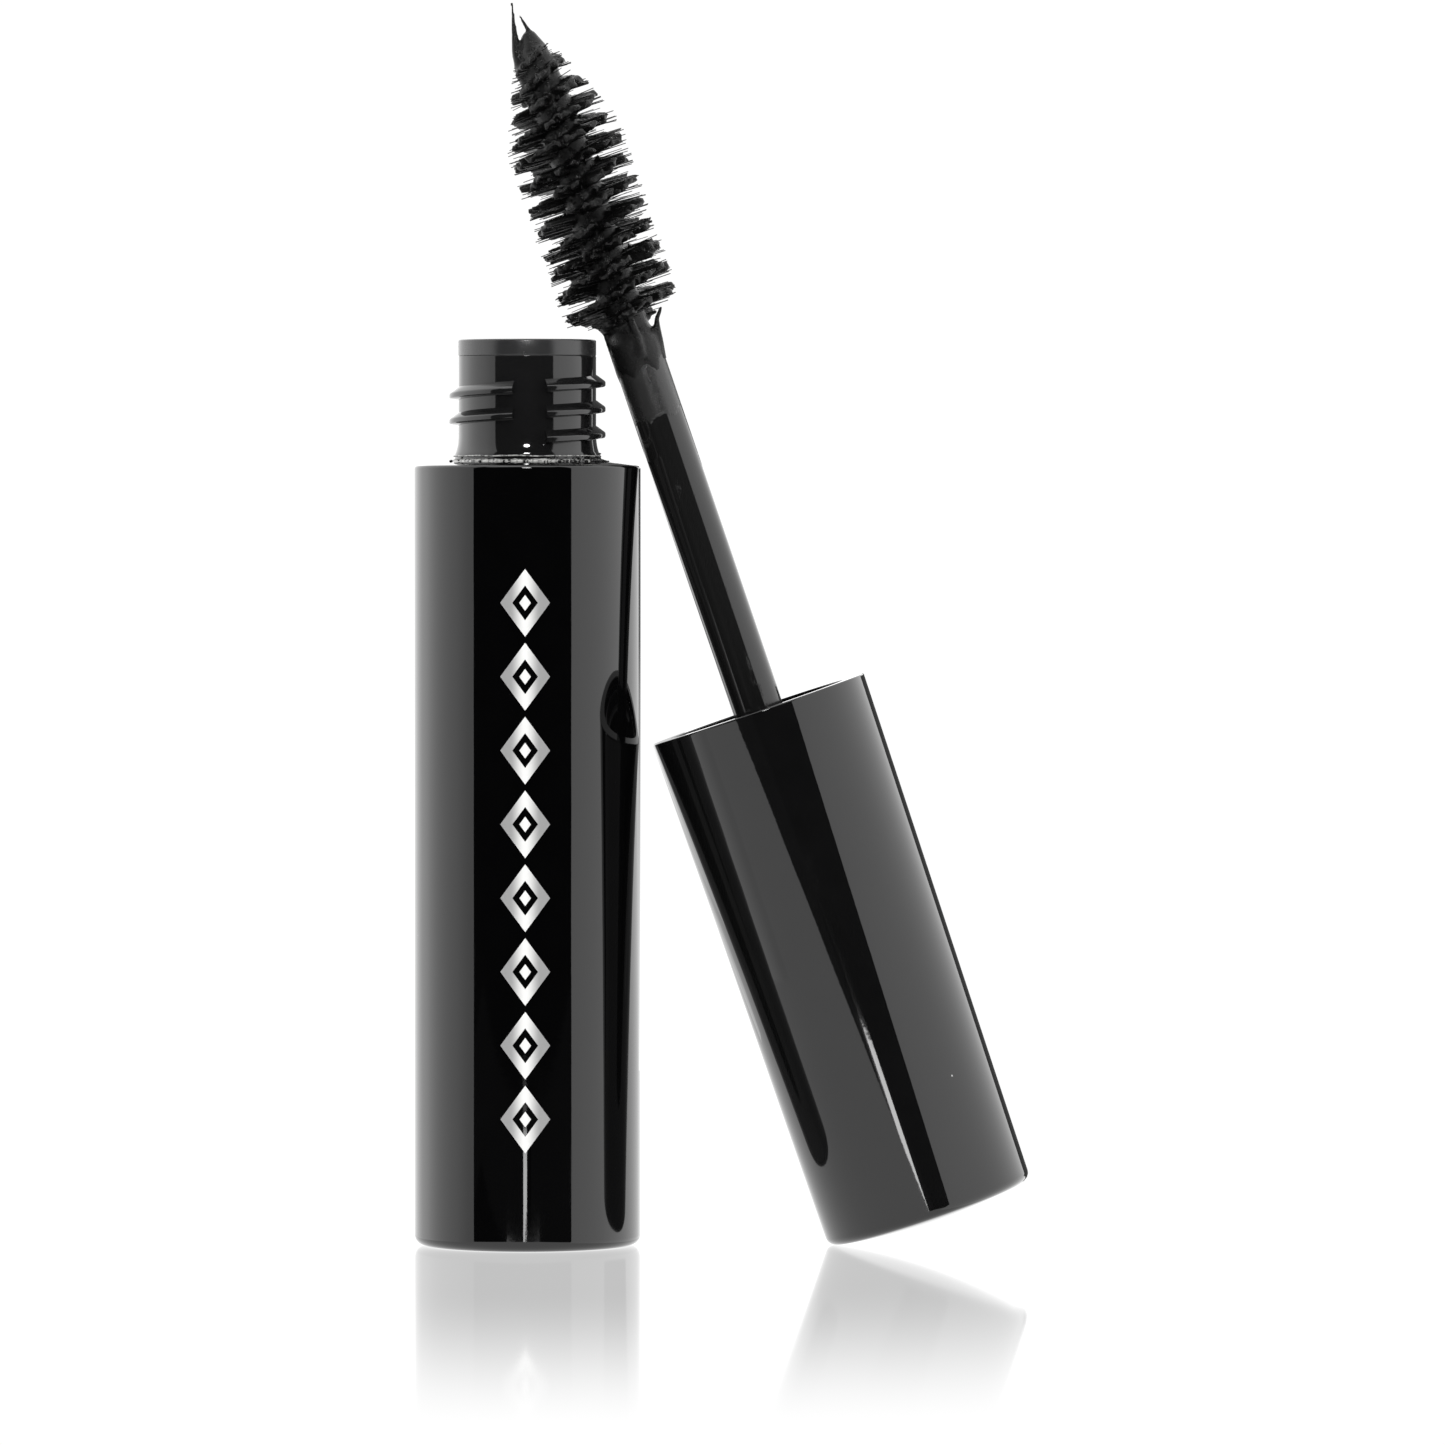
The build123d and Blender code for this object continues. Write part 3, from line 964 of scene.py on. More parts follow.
@dataclass
class Neck:
    """The vial with its interrupted thread, the wiper, the adhesive at its foot and crumbs of mascara."""

    base: float = 2.2
    body_r: float = 7.85
    body_bore_r: float = 6.75
    floor: float = 1.2
    under: float = 63.7
    foot_r: float = 6.045
    foot_top: float = 65.56
    neck_r: float = 5.715
    flare_top: float = 67.7
    flare_steps: int = 8
    top: float = 75.15
    flange: float = 1.35
    bore_r: float = 4.165
    thread_r: float = 6.5
    pitch: float = 25.4 / 12
    first_drop: float = 3.7
    gap: float = 26.0
    middle: float = 3.0
    half_turns: int = 5
    root_sunk: float = 0.15
    root_low: float = -0.3
    root_high: float = 0.92
    wiper_wall: float = 0.8
    lip_r: float = 2.2
    barrel: float = 5.5
    wiper_depth: float = 11.5
    lip_land: float = 1.2
    bead_low: float = 65.03
    bead_reach: Point2 = (6.42, 6.32)
    bead_steps: int = 420
    drip_rise: float = 0.48
    crumbs: int = 110
    fill_top: float = 59.3
    fill_bottom: float = 3.4
    finish: Finish = Gloss(
        "vial_black", (0.0072, 0.0072, 0.0074), 0.06, wave=0.003, wave_scale=0.25, dust=0.03, smudge=0.1
    )
    wiper_finish: Finish = Satin("wiper_dark_grey", (0.014, 0.014, 0.0143), 0.24, grain=0.003)
    bead_finish: Finish = Glue("adhesive_pale", (0.34, 0.34, 0.33), 0.12)
    mascara_finish: Finish = Wet("mascara_in_vial", (0.004, 0.004, 0.004), 0.12)

    def _flare(self) -> list[Point2]:
        """The hollow curve from the foot up to the neck, ending just before the neck's top."""
        steps = range(self.flare_steps)
        shares = [step / (self.flare_steps - 1) for step in steps]
        rise, width = self.flare_top - self.foot_top, self.foot_r - self.neck_r
        return [(self.neck_r + width * (1.0 - s) ** 3, self.foot_top + rise * s) for s in shares]

    def _vial(self) -> None:
        """Makes the vial, its neck and the thread."""
        top = self.top - self.flange
        low_bore = self.under - 1.1 - (self.body_bore_r - self.bore_r) / 2
        outline = [
            (0.0, self.base),
            (self.body_r, self.base),
            (self.body_r, self.under),
            (self.foot_r, self.under),
            *self._flare(),
            (self.neck_r, top),
            (self.bore_r, top),
            (self.bore_r, self.under),
            (self.body_bore_r, low_bore),
            (self.body_bore_r, self.base + self.floor),
            (0.0, self.base + self.floor),
        ]
        shape = Shape().wire(outline, {1: 1.0, 4 + self.flare_steps: 0.07}).turn()
        root = self.neck_r - self.root_sunk
        flanks = [(self.thread_r + past, height) for past, height in RIDGE_CORNERS]
        section = [(root, self.root_low), *flanks, (root, self.root_high)]
        sweep = 180.0 - self.gap
        for half in range(self.half_turns):
            start = self.middle - 180.0 * half - sweep / 2
            height = self.top - self.first_drop + self.pitch * start / 360.0
            ring = [(r, z + height) for r, z in section]
            shape.ridge(ring, math.radians(start), math.radians(sweep), self.pitch * sweep / 360.0)
        shape.close()
        job = Job(Body.TUBE, Slot.VIAL, TUBE_SEAT, ("inner_vial",))
        job.make(shape, "vial_and_neck", self.finish, even=True)

    def _wiper(self) -> None:
        """Makes the wiper: flange, barrel, cone and lip."""
        low, wall, lip_r = self.top - self.flange, self.wiper_wall, self.lip_r
        inner = self.bore_r - wall
        barrel, land = low - self.barrel, low - self.wiper_depth
        cone = land + self.lip_land
        outline = [
            (self.bore_r, barrel),
            (self.bore_r, low),
            (self.neck_r, low),
            (self.neck_r, self.top),
            (inner + 0.5, self.top),
            (inner, self.top - 0.5),
            (inner, barrel),
            (lip_r, cone),
            (lip_r, land),
            (lip_r + wall, land),
            (lip_r + wall, cone),
        ]
        shape = Shape().wire(outline, {2: 0.09, 3: 0.16}, closed=True).turn()
        job = Job(Body.TUBE, Slot.WIPER, TUBE_SEAT, ("wiper",))
        job.make(shape, "wiper_insert", self.wiper_finish, even=True)

    def _bead(self) -> None:
        """Makes the uneven adhesive ring at the neck's foot."""
        low = self.bead_low
        inside, (wide, narrow) = self.foot_r - 0.05, self.bead_reach
        outline = [(inside, low), (wide, low), (narrow, low + 0.1), (inside, low + 0.24)]
        shape = Shape().wire(outline, closed=True)
        bmesh.ops.subdivide_edges(shape.bm, edges=shape.bm.edges, cuts=3)
        across, up = self.foot_r + 0.03, low + self.drip_rise
        drip = [(across + 0.09 * math.cos(angle), up + 0.06 * math.sin(angle)) for angle in DRIP_ANGLES]
        shape.wire(drip, closed=True).turn(self.bead_steps)

        def lumpy(point: Vector) -> Vector:
            """Swells and thins the ring along its way.

            Args:
                point: A vertex's place.

            Returns:
                Its new place.
            """
            out = Vector((point.x, point.y, 0.0)).normalized()
            share = sum(noise.noise(point * scale) * part for scale, part in BEAD_LUMPS)
            if point.z > low + 0.42:
                return point + (out + Vector((0, 0, 1))) * 0.05 * noise.noise(point * 0.9)
            high = max(0.0, point.z - low - 0.03)
            return point + out * 0.1 * share * min(1.0, high * 6 + 0.4) + Vector((0, 0, high * 0.4 * share))

        shape.shift(lumpy)
        job = Job(Body.TUBE, Slot.ADHESIVE, TUBE_SEAT, ("neck_bead",))
        job.make(shape, "adhesive_ring", self.bead_finish)

    def _crumbs(self, draw: random.Random) -> None:
        """Scatters crumbs of mascara at the foot, most of them on the brush's side.

        Args:
            draw: The seeded draws.
        """
        shape = Shape()
        for _ in range(self.crumbs):
            side = draw.choice((draw.gauss(-24, 16), draw.gauss(-35, 22), draw.uniform(-180, 180)))
            angle = math.radians(side)
            out = draw.uniform(6.0, 6.75)
            size = draw.uniform(0.05, 0.16)
            height = 65.1 - (out - 6.2) * 0.11 + max(0.0, 6.35 - out) * draw.uniform(0.2, 1.6) + size * 0.2
            centre = Vector((out * math.cos(angle), out * math.sin(angle), height))
            shape.lump(centre, Vector((size, size * draw.uniform(0.6, 1.2), size * draw.uniform(0.5, 0.9))))
        shape.shift(lambda p: p + Vector((1, 1, 1)) * 0.05 * noise.noise(p * 5.0))
        Job(Body.TUBE, Slot.MASCARA, TUBE_SEAT).make(shape, "mascara_crumbs", self.mascara_finish)

    def _fill(self) -> None:
        """Makes the mascara in the vial, with a dragged surface."""
        radius = self.body_bore_r - 0.01
        outline = [(0.0, self.fill_bottom), (radius, self.fill_bottom), (radius, self.fill_top)]
        outline += [(radius * share, self.fill_top) for share in (0.8, 0.6, 0.4, 0.2, 0.0)]
        shape = Shape().wire(outline).turn(72)

        def dragged(point: Vector) -> Vector:
            """Drops the middle of the top and makes it uneven.

            Args:
                point: A vertex's place.

            Returns:
                Its new place.
            """
            if point.z < self.fill_top - 0.01:
                return point
            share = 1.0 - math.hypot(point.x, point.y) / radius
            return point - Vector((0, 0, 1.6 * share + 0.5 * share * (1 + noise.noise(point * 0.6))))

        shape.shift(dragged)
        job = Job(Body.TUBE, Slot.MASCARA, TUBE_SEAT, ("mascara_fill",))
        job.make(shape, "mascara_in_vial", self.mascara_finish)

    def build(self, draw: random.Random) -> None:
        """Makes every piece of the neck and the vial.

        Args:
            draw: The seeded draws.
        """
        self._vial()
        self._wiper()
        self._bead()
        self._crumbs(draw)
        self._fill()


# ---- The wand ----
@dataclass
class Cap:
    """Gloss cap with slight draft and a domed end; its hidden insert and washer keep their shapes."""

    seat: Seat
    rim_r: float = 9.25
    end_r: float = 8.85
    length: float = 44.1
    dome: float = 0.9
    end_round: float = 0.6
    rim_round: float = 0.15
    bore_round: float = 0.1
    bore_r: float = 7.6
    depth: float = 42.6
    dome_steps: int = 6
    finish: Finish = Gloss("cap_gloss_black", (0.0035, 0.0035, 0.0036), 0.03, wave=0.006)
    insert_finish: Finish = Satin("cap_insert_black", (0.012, 0.012, 0.012), 0.32)
    washer_finish: Finish = Satin("washer_rubber", (0.03, 0.03, 0.03), 0.6, grain=0.008)

    def build(self) -> None:
        """Makes the cap and dresses what is inside it."""
        shares = [1.0 - step / self.dome_steps for step in range(self.dome_steps)]
        outline = [(0.0, -self.length - self.dome)]
        outline += [(self.end_r * s, -self.length - self.dome * (1 - s * s)) for s in reversed(shares)]
        outline += [(self.rim_r, 0.0), (self.bore_r, 0.0), (self.bore_r, -self.depth), (0.0, -self.depth)]
        corner = self.dome_steps
        rounds = {corner: self.end_round, corner + 1: self.rim_round, corner + 2: self.bore_round}
        shape = Shape().wire(outline, rounds).turn()
        job = Job(Body.WAND, Slot.CAP, self.seat, ("cap_shell",))
        job.make(shape, "cap", self.finish, even=True)
        dress_node("cap_insert", self.insert_finish, self.seat)
        dress_node("sealing_washer", self.washer_finish, self.seat)


@dataclass
class Stem:
    """Stem with its flange and snap plug, and the twisted wire in its tip."""

    seat: Seat
    radius: float = 2.12
    tip: float = 31.8
    flange_r: float = 5.0
    flange_low: float = -12.2
    flange_high: float = -11.3
    plug_r: float = 3.0
    plug_low: float = -16.7
    tip_round: float = 0.25
    wire_r: float = 0.3
    socket: float = 7.0
    socket_r: float = 0.58
    wire_high: float = 57.8
    wire_offset: float = 0.26
    twist_pitch: float = 2.6
    twist_steps: int = 14
    finish: Finish = Smeared("stem_black", (0.006, 0.006, 0.006), 0.09)
    wire_finish: Finish = Steel("wire_steel", (0.5, 0.5, 0.5), 0.25, metallic=1.0)

    def _rod(self) -> None:
        """Makes the stem."""
        outline = [
            (0.0, self.plug_low),
            (self.plug_r, self.plug_low),
            (self.plug_r, self.flange_low),
            (self.flange_r, self.flange_low),
            (self.flange_r, self.flange_high),
            (self.radius, self.flange_high),
            (self.radius, self.tip),
            (self.socket_r, self.tip),
            (self.socket_r, self.tip - self.socket),
            (0.0, self.tip - self.socket),
        ]
        shape = Shape().wire(outline, {6: self.tip_round}).turn(96)
        job = Job(Body.WAND, Slot.STEM, self.seat, ("stem",))
        job.make(shape, "stem_rod", self.finish, even=True)

    def _wire(self) -> None:
        """Twists two wires round each other."""
        shape = Shape()
        low = self.tip - self.socket
        turns = (self.wire_high - low) / self.twist_pitch
        steps = int(turns * self.twist_steps)
        for side in (0.0, math.pi):
            made = bmesh.ops.create_circle(shape.bm, cap_ends=True, segments=8, radius=self.wire_r)
            verts = made["verts"]
            upright = Matrix.Translation((self.wire_offset, 0, low)) @ Matrix.Rotation(math.pi / 2, 4, "X")
            bmesh.ops.transform(shape.bm, matrix=Matrix.Rotation(side, 4, "Z") @ upright, verts=verts)
            face = verts[0].link_faces[0]
            shape.sweep([face, *face.edges, *verts], math.tau * turns, steps, self.wire_high - low)
        shape.close()
        job = Job(Body.WAND, Slot.WIRE, self.seat, ("wire_core",))
        job.make(shape, "twisted_wire", self.wire_finish)

    def build(self) -> None:
        """Makes the stem and the wire."""
        self._rod()
        self._wire()


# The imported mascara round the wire: (radius, distance from the stem's tip).
CORE_OUTLINE = (
    *((0.0, -1.1), (2.13, -1.1), (2.2, -0.4), (2.15, 0.4), (1.75, 1.4), (1.7, 2.6)),
    *((1.7, 19.0), (1.5, 23.0), (1.1, 26.0), (0.5, 27.4), (0.0, 27.6)),
)
# Drawn-out strands, as (x, y, distance from the stem's tip, radius) points.
SPIKE_LONG = (
    (-1.2, 0.0, 22.8, 0.75),
    (-1.45, 0.0, 24.6, 0.62),
    (-1.4, 0.0, 26.2, 0.42),
    (-1.1, 0.0, 27.6, 0.27),
    (-0.8, 0.0, 28.9, 0.17),
    (-0.45, 0.0, 30.2, 0.1),
)
SPIKE_SHORT = (
    (0.9, -0.2, 24.2, 0.6),
    (0.72, -0.2, 25.6, 0.42),
    (0.35, -0.2, 26.7, 0.28),
    (0.02, -0.2, 27.9, 0.18),
    (-0.2, -0.2, 29.0, 0.1),
)
STEM_WEBS = (
    (
        *((1.7, -0.4, -1.8, 0.5), (2.0, -0.4, -0.4, 0.42), (2.2, -0.4, 0.6, 0.34)),
        *((2.45, -0.4, 1.5, 0.22), (3.1, -0.4, 2.3, 0.16)),
    ),
    ((-1.8, -0.3, -0.8, 0.4), (-1.9, -0.3, 0.6, 0.3), (-2.0, -0.3, 1.8, 0.2), (-2.6, -0.3, 2.6, 0.14)),
    ((0.3, -2.0, -1.0, 0.4), (0.5, -2.1, 0.6, 0.34), (0.4, -2.2, 2.0, 0.3), (0.6, -2.4, 3.4, 0.2)),
)

@dataclass
class Brush:
    """Mascara brush: fibres in two twisted rows, clotted into bunches, with mascara drawn off the tip."""

    seat: Seat
    tip: float = 31.8
    start: float = 1.6
    start_r: float = 1.9
    full_start: float = 3.0
    full_end: float = 17.5
    end: float = 26.0
    radius: float = 5.07
    end_r: float = 1.6
    lead: float = 3.8
    bunch_half: float = 0.3
    strand_r: float = 0.19
    fibre_r: float = 0.05
    voxel: float = 0.15
    clot_faces: int = 190000
    taper_power: float = 1.35
    bunch_widths: Point2 = (0.22, 0.5)
    bunch_lengths: tuple[float, ...] = (1.0, 0.985, 0.97, 0.94, 0.88)
    wet_share: float = 0.86
    wet_strands: int = 9
    dry_strands: int = 4
    fibre_share: float = 0.4
    shortest: float = 1.2
    lumps: int = 260
    clot_finish: Finish = Wet("mascara_on_brush", (0.002, 0.002, 0.002), 0.1, ior=1.3)
    fibre_finish: Finish = Fibre("fibres_black", (0.009, 0.009, 0.009), 0.3)

    def reach(self, along: float) -> float:
        """The brush's radius at a distance from the stem's tip.

        Args:
            along: The distance.

        Returns:
            The radius.
        """
        if along < self.full_start:
            share = max(0.0, (along - self.start) / (self.full_start - self.start))
            return self.start_r + (self.radius - self.start_r) * share
        share = max(0.0, (along - self.full_end) / (self.end - self.full_end))
        return self.radius - (self.radius - self.end_r) * share**self.taper_power

    def at(self, radius: float, angle: float, along: float) -> Vector:
        """A point by radius, angle and distance from the stem's tip."""
        return Vector((radius * math.cos(angle), radius * math.sin(angle), self.tip + along))

    def _bunches(self, clots: Shape, fibres: Shape, draw: random.Random) -> None:
        """Lays bunches along both twisted rows.

        Args:
            clots: The mascara.
            fibres: The bare fibres.
            draw: The seeded draws.
        """
        for row in range(2):
            angle = math.pi * row + 0.4
            first = angle
            while True:
                along = self.start + 0.35 + self.lead * (angle - first) / math.tau
                if along > self.end + 0.2:
                    break
                width = draw.uniform(*self.bunch_widths)
                self._bunch(clots, fibres, draw, angle, along, width)
                angle += width + draw.uniform(-0.04, 0.1)

    def _bunch(
        self, clots: Shape, fibres: Shape, draw: random.Random, angle: float, along: float, width: float
    ) -> None:
        """Makes one bunch: coated strands that lean together, and the fibres that stand out of them.

        Args:
            clots: The mascara.
            fibres: The bare fibres.
            draw: The seeded draws.
            angle: Where it stands round the wire, in radians.
            along: Its distance from the stem's tip.
            width: How far it goes round, in radians.
        """
        lean = draw.gauss(0.0, 0.12)
        turn = draw.gauss(0.0, 0.05)
        length = draw.choice(self.bunch_lengths)
        wet = draw.random() < self.wet_share
        pinch = draw.uniform(0.75, 1.1)
        count = int((self.wet_strands if wet else self.dry_strands) * width / 0.3)
        for _ in range(count):
            around = draw.uniform(-0.5, 0.5) * width
            beside = draw.uniform(-1.0, 1.0) * self.bunch_half
            foot_along = along + beside + around * self.lead / math.tau
            foot = self.at(0.9, angle + around, foot_along)
            tip_along = min(along + beside * pinch + around * self.lead / math.tau + lean, self.end + 0.3)
            reach = self.reach(tip_along) * length * draw.uniform(0.93, 1.0) - self.strand_r
            if reach < self.shortest or tip_along < self.start:
                continue
            tip = self.at(reach, angle + around * pinch + turn, tip_along)
            thick = self.strand_r * draw.uniform(0.85, 1.25)
            clots.cone(foot, tip, thick * 1.35, thick * 0.75)
        for _ in range(int(count * self.fibre_share)):
            around = draw.uniform(-0.55, 0.55) * width
            beside = draw.choice((-1.0, -1.0, 1.0)) * draw.uniform(0.6, 2.2) * self.bunch_half
            foot_along = along + beside + around * self.lead / math.tau
            tip_along = along + beside + around * self.lead / math.tau + lean + draw.gauss(0.0, 0.1)
            reach = self.reach(tip_along) * draw.uniform(0.95, 1.0) - self.fibre_r
            if reach < self.shortest or not self.start < tip_along < self.end + 0.3:
                continue
            tip = self.at(reach, angle + around + turn, tip_along)
            fibres.cone(self.at(0.8, angle + around, foot_along), tip, self.fibre_r, self.fibre_r * 0.7, 4)

    def _core(self, clots: Shape, draw: random.Random) -> None:
        """Packs mascara round the wire, with lumps and webs between the rows.

        Args:
            clots: The mascara.
            draw: The seeded draws.
        """
        core = Shape().wire([(radius, along + self.tip) for radius, along in CORE_OUTLINE]).turn(48)

        def ragged(point: Vector) -> Vector:
            """Lets the lower edge run unevenly down the stem.

            Args:
                point: A vertex's place.

            Returns:
                Its new place.
            """
            if point.z > self.tip - 0.2:
                return point
            return point - Vector((0, 0, 1.0 + 1.6 * noise.noise(Vector((point.x, point.y, 0.0)) * 0.7)))

        core.shift(ragged)
        core.bm.to_mesh(bpy.data.meshes.new("core_source"))
        source = bpy.data.meshes["core_source"]
        clots.bm.from_mesh(source)
        core.bm.free()
        bpy.data.meshes.remove(source)
        for _ in range(self.lumps):
            along = draw.uniform(1.6, 26.0)
            out = min(self.reach(along) * 0.5, draw.uniform(1.4, 2.4))
            size = draw.uniform(0.12, 0.26)
            centre = self.at(out, draw.uniform(0, math.tau), along)
            clots.lump(centre, Vector((size, size, size * draw.uniform(0.7, 1.4))), 1)

    def _drawn(self, clots: Shape, path: Sequence[tuple[float, float, float, float]]) -> None:
        """Adds a drawn-out strand through (x, y, along, radius) points.

        Args:
            clots: The mascara.
            path: The points.
        """
        for first, second in zip(path, path[1:]):
            foot = Vector((first[0], first[1], self.tip + first[2]))
            tip = Vector((second[0], second[1], self.tip + second[2]))
            clots.cone(foot, tip, first[3], second[3], 8)
            clots.lump(tip, Vector((1, 1, 1)) * second[3], 1)

    def build(self, draw: random.Random) -> None:
        """Makes the clotted mascara and the fibres.

        Args:
            draw: The seeded draws.
        """
        clots, fibres = Shape(), Shape()
        self._bunches(clots, fibres, draw)
        self._core(clots, draw)
        for path in (SPIKE_LONG, SPIKE_SHORT, *STEM_WEBS):
            self._drawn(clots, path)
        clots.close()
        piece = clots.mesh("mascara_clots", self.seat.matrix())
        voxel_merge(piece, self.voxel * MM, self.clot_faces)
        Job(Body.WAND, Slot.MASCARA, self.seat, ("mascara_coat",)).give(piece, self.clot_finish)
        job = Job(Body.WAND, Slot.FIBRES, self.seat, ("bristles",))
        job.make(fibres.close(), "brush_fibres", self.fibre_finish)


# ---- The studio ----
# Brightness across the two big diffusers, the cap's streak and the sleeve's flag.
LEFT_GLOW = ((-77, 1.3), (-62, 1.32), (-33, 1.68), (0, 1.88), (36, 2.1), (60, 2.15), (100, 1.84), (400, 1.55))
RIGHT_GLOW = ((-59, 1.78), (0, 2.05), (100, 1.75), (400, 1.7))
STREAK_GLOW = ((-60, 0.0), (-24, 0.6), (-5, 5.0), (-1, 12.5), (60, 12.5))
FLAG_GLOW = ((14, 2.1), (35, 1.1), (50, 0.25), (65, 0.1))


def upright(start: Point2, end: Point2, low: float, high: float) -> Corners:
    """An upright sheet's corners between two places in plan."""
    return ((*start, low), (*end, low), (*end, high), (*start, high))


def level(first: Point2, last: Point2, height: float) -> Corners:
    """A level sheet's corners from its first corner to the one across."""
    return ((*first, height), (last[0], first[1], height), (*last, height), (first[0], last[1], height))


def aim(thing: bpy.types.Object, place: Point3, target: Point3) -> None:
    """Stands a camera or a light at a place and turns it to a target, both in millimetres.

    Args:
        thing: The camera or light.
        place: Where it stands.
        target: What it looks at.
    """
    thing.location = Vector(place) * MM
    thing.rotation_mode = "QUATERNION"
    thing.rotation_quaternion = (Vector(target) - Vector(place)).to_track_quat("-Z", "Y")


@dataclass(frozen=True)
class Panel:
    """A glowing sheet that only reflections and bounced light see.

    Brightness is given at places along one axis of the row frame, in millimetres. A sheet with a
    reach is a flag close to a piece, and rays that come from further off pass through it.
    """

    name: str
    corners: Corners
    glow: Glow
    axis: int = 1
    diffuse: bool = True
    seen_by: tuple[str, ...] = ()
    reach: float = 0.0

    def build(self) -> None:
        """Makes the sheet and its light."""
        bm = bmesh.new()
        bm.faces.new([bm.verts.new(Vector(corner) * MM) for corner in self.corners])
        sheet = add_mesh(self.name, bm)
        material, graph = new_material(self.name)
        peak = max(level for _, level in self.glow)
        low, high = self.glow[0][0], self.glow[-1][0]
        stops = [((at - low) / max(high - low, 1e-6), (level / peak,) * 3) for at, level in self.glow]
        place = graph.parts(TUBE_SEAT.coordinates(graph))[self.axis]
        tint = graph.add("ShaderNodeValToRGB", {"stops": stops}, {"Fac": (place - low) / (high - low)})
        light = graph.add("ShaderNodeEmission", {}, {"Color": tint, "Strength": peak})
        if self.reach:
            length = graph.add("ShaderNodeLightPath", out="Ray Length")
            clear = graph.add("ShaderNodeBsdfTransparent", {}, {"Color": (1.0, 1.0, 1.0)})
            far = length.ramp(self.reach * MM, self.reach * MM * 1.05)
            light = graph.add("ShaderNodeMixShader", {}, {0: far, 1: light, 2: clear})
        graph.add("ShaderNodeOutputMaterial", {}, {"Surface": light})
        sheet.data.materials.append(material)
        sheet.visible_camera = False
        sheet.visible_shadow = False
        sheet.visible_diffuse = self.diffuse
        if self.seen_by:
            linked = bpy.data.collections.new(self.name)
            for piece in self.seen_by:
                linked.objects.link(bpy.data.objects[piece])
            sheet.light_linking.receiver_collection = linked


@dataclass
class Studio:
    """Camera, floor, soft panels and the world."""

    wand: Seat
    camera_place: Point3 = (16.2, -830.0, 61.0)
    camera_aim: Point3 = (16.2, 0.0, 43.4)
    focal_px: float = 10000.0
    frame_px: float = 1445.0
    sensor: float = 36.0
    floor_half: float = 1500.0
    mirror: float = 0.47
    mirror_full: float = 48.0
    mirror_end: float = 176.0
    mirror_depth: Point2 = (-4.0, 14.0)
    white: float = 1.02
    ambient: float = 0.03
    fill_place: Point3 = (-40.0, -700.0, 260.0)
    fill_aim: Point3 = (0.0, 0.0, 40.0)
    fill_size: float = 0.5
    fill_watts: float = 5.0
    wall_far: float = 1200.0
    lamp_sides: int = 24

    def _camera(self) -> None:
        """Adds the camera."""
        data = bpy.data.cameras.new("camera")
        data.sensor_width = self.sensor
        data.lens = self.focal_px / self.frame_px * self.sensor
        data.clip_start, data.clip_end = 0.01, 50.0
        camera = add_object("camera", data)
        aim(camera, self.camera_place, self.camera_aim)
        bpy.context.scene.camera = camera

    def _floor(self) -> None:
        """Adds the pale floor, with a mirror image that fades away from the object."""
        bm = bmesh.new()
        bmesh.ops.create_grid(bm, x_segments=1, y_segments=1, size=self.floor_half * MM)
        bmesh.ops.translate(bm, vec=(0, 0, -0.01 * MM), verts=bm.verts)
        floor = add_mesh("floor", bm)
        material, graph = new_material("floor_pale")
        where = TUBE_SEAT.coordinates(graph)
        away = graph.add("ShaderNodeVectorMath", {"operation": "LENGTH"}, {0: where}, out="Value")
        _, depth, _ = graph.parts(where)
        near = (1.0 - away.ramp(self.mirror_full, self.mirror_end)) * (1.0 - depth.ramp(*self.mirror_depth))
        white = graph.add("ShaderNodeEmission", {}, {"Color": (1.0, 1.0, 1.0), "Strength": self.white})
        shine = graph.add("ShaderNodeBsdfGlossy", {}, {"Color": (1.0, 1.0, 1.0), "Roughness": 0.06})
        mixed = graph.add("ShaderNodeMixShader", {}, {0: near * self.mirror, 1: white, 2: shine})
        graph.add("ShaderNodeOutputMaterial", {}, {"Surface": mixed})
        floor.data.materials.append(material)
        floor.visible_glossy = False
        floor.visible_diffuse = False
        floor.visible_shadow = False

    def _world(self) -> None:
        """White where the camera looks past the object, dark for reflections from the front."""
        world = bpy.data.worlds.new("world")
        bpy.context.scene.world = world
        world.use_nodes = True
        graph = Graph(world.node_tree)
        seen = graph.add("ShaderNodeLightPath", out="Is Camera Ray")
        level = seen * (1.0 - self.ambient) + self.ambient
        values = {"Color": (1.0, 1.0, 1.0), "Strength": level * self.white}
        sky = graph.add("ShaderNodeBackground", {}, values)
        graph.add("ShaderNodeOutputWorld", {}, {"Surface": sky})

    def _fill(self) -> None:
        """A broad front light that matt surfaces see and reflections do not."""
        data = bpy.data.lights.new("front_fill", "AREA")
        data.shape = "RECTANGLE"
        data.size, data.size_y = self.fill_size, self.fill_size
        data.energy = self.fill_watts
        fill = add_object("front_fill", data)
        aim(fill, self.fill_place, self.fill_aim)
        fill.visible_glossy = False
        fill.visible_camera = False

    def build(self) -> None:
        """Sets the studio up."""
        bpy.context.scene.view_settings.view_transform = "Standard"
        self._camera()
        self._floor()
        self._world()
        self._fill()
        for panel in (*self._soft(), *self._strips(), *self._flags(), *self._far()):
            panel.build()

    def _soft(self) -> list[Panel]:
        """The big soft sheets round the object."""
        left = upright((-103, -77), (-140, 400), -160, 420)
        right = upright((57, -59), (90, 400), -160, 420)
        backdrop = upright((-500, 402), (500, 402), -160, 420)
        low = level((-140, -400), (90, 400), -30)
        beside = level((-420, -400), (-140, 400), -31)
        overhead = level((-320, -350), (220, 300), 500)
        return [
            Panel("left_diffuser", left, LEFT_GLOW),
            Panel("right_diffuser", right, RIGHT_GLOW),
            Panel("backdrop", backdrop, ((-140, 1.6), (90, 1.7)), axis=0),
            Panel("low_table", low, ((-400, 1.4), (400, 1.4))),
            Panel("cap_table", beside, ((-400, 1.4), (400, 1.4)), seen_by=("cap",)),
            Panel("overhead", overhead, ((-320, 3.0), (220, 2.0)), axis=0),
        ]

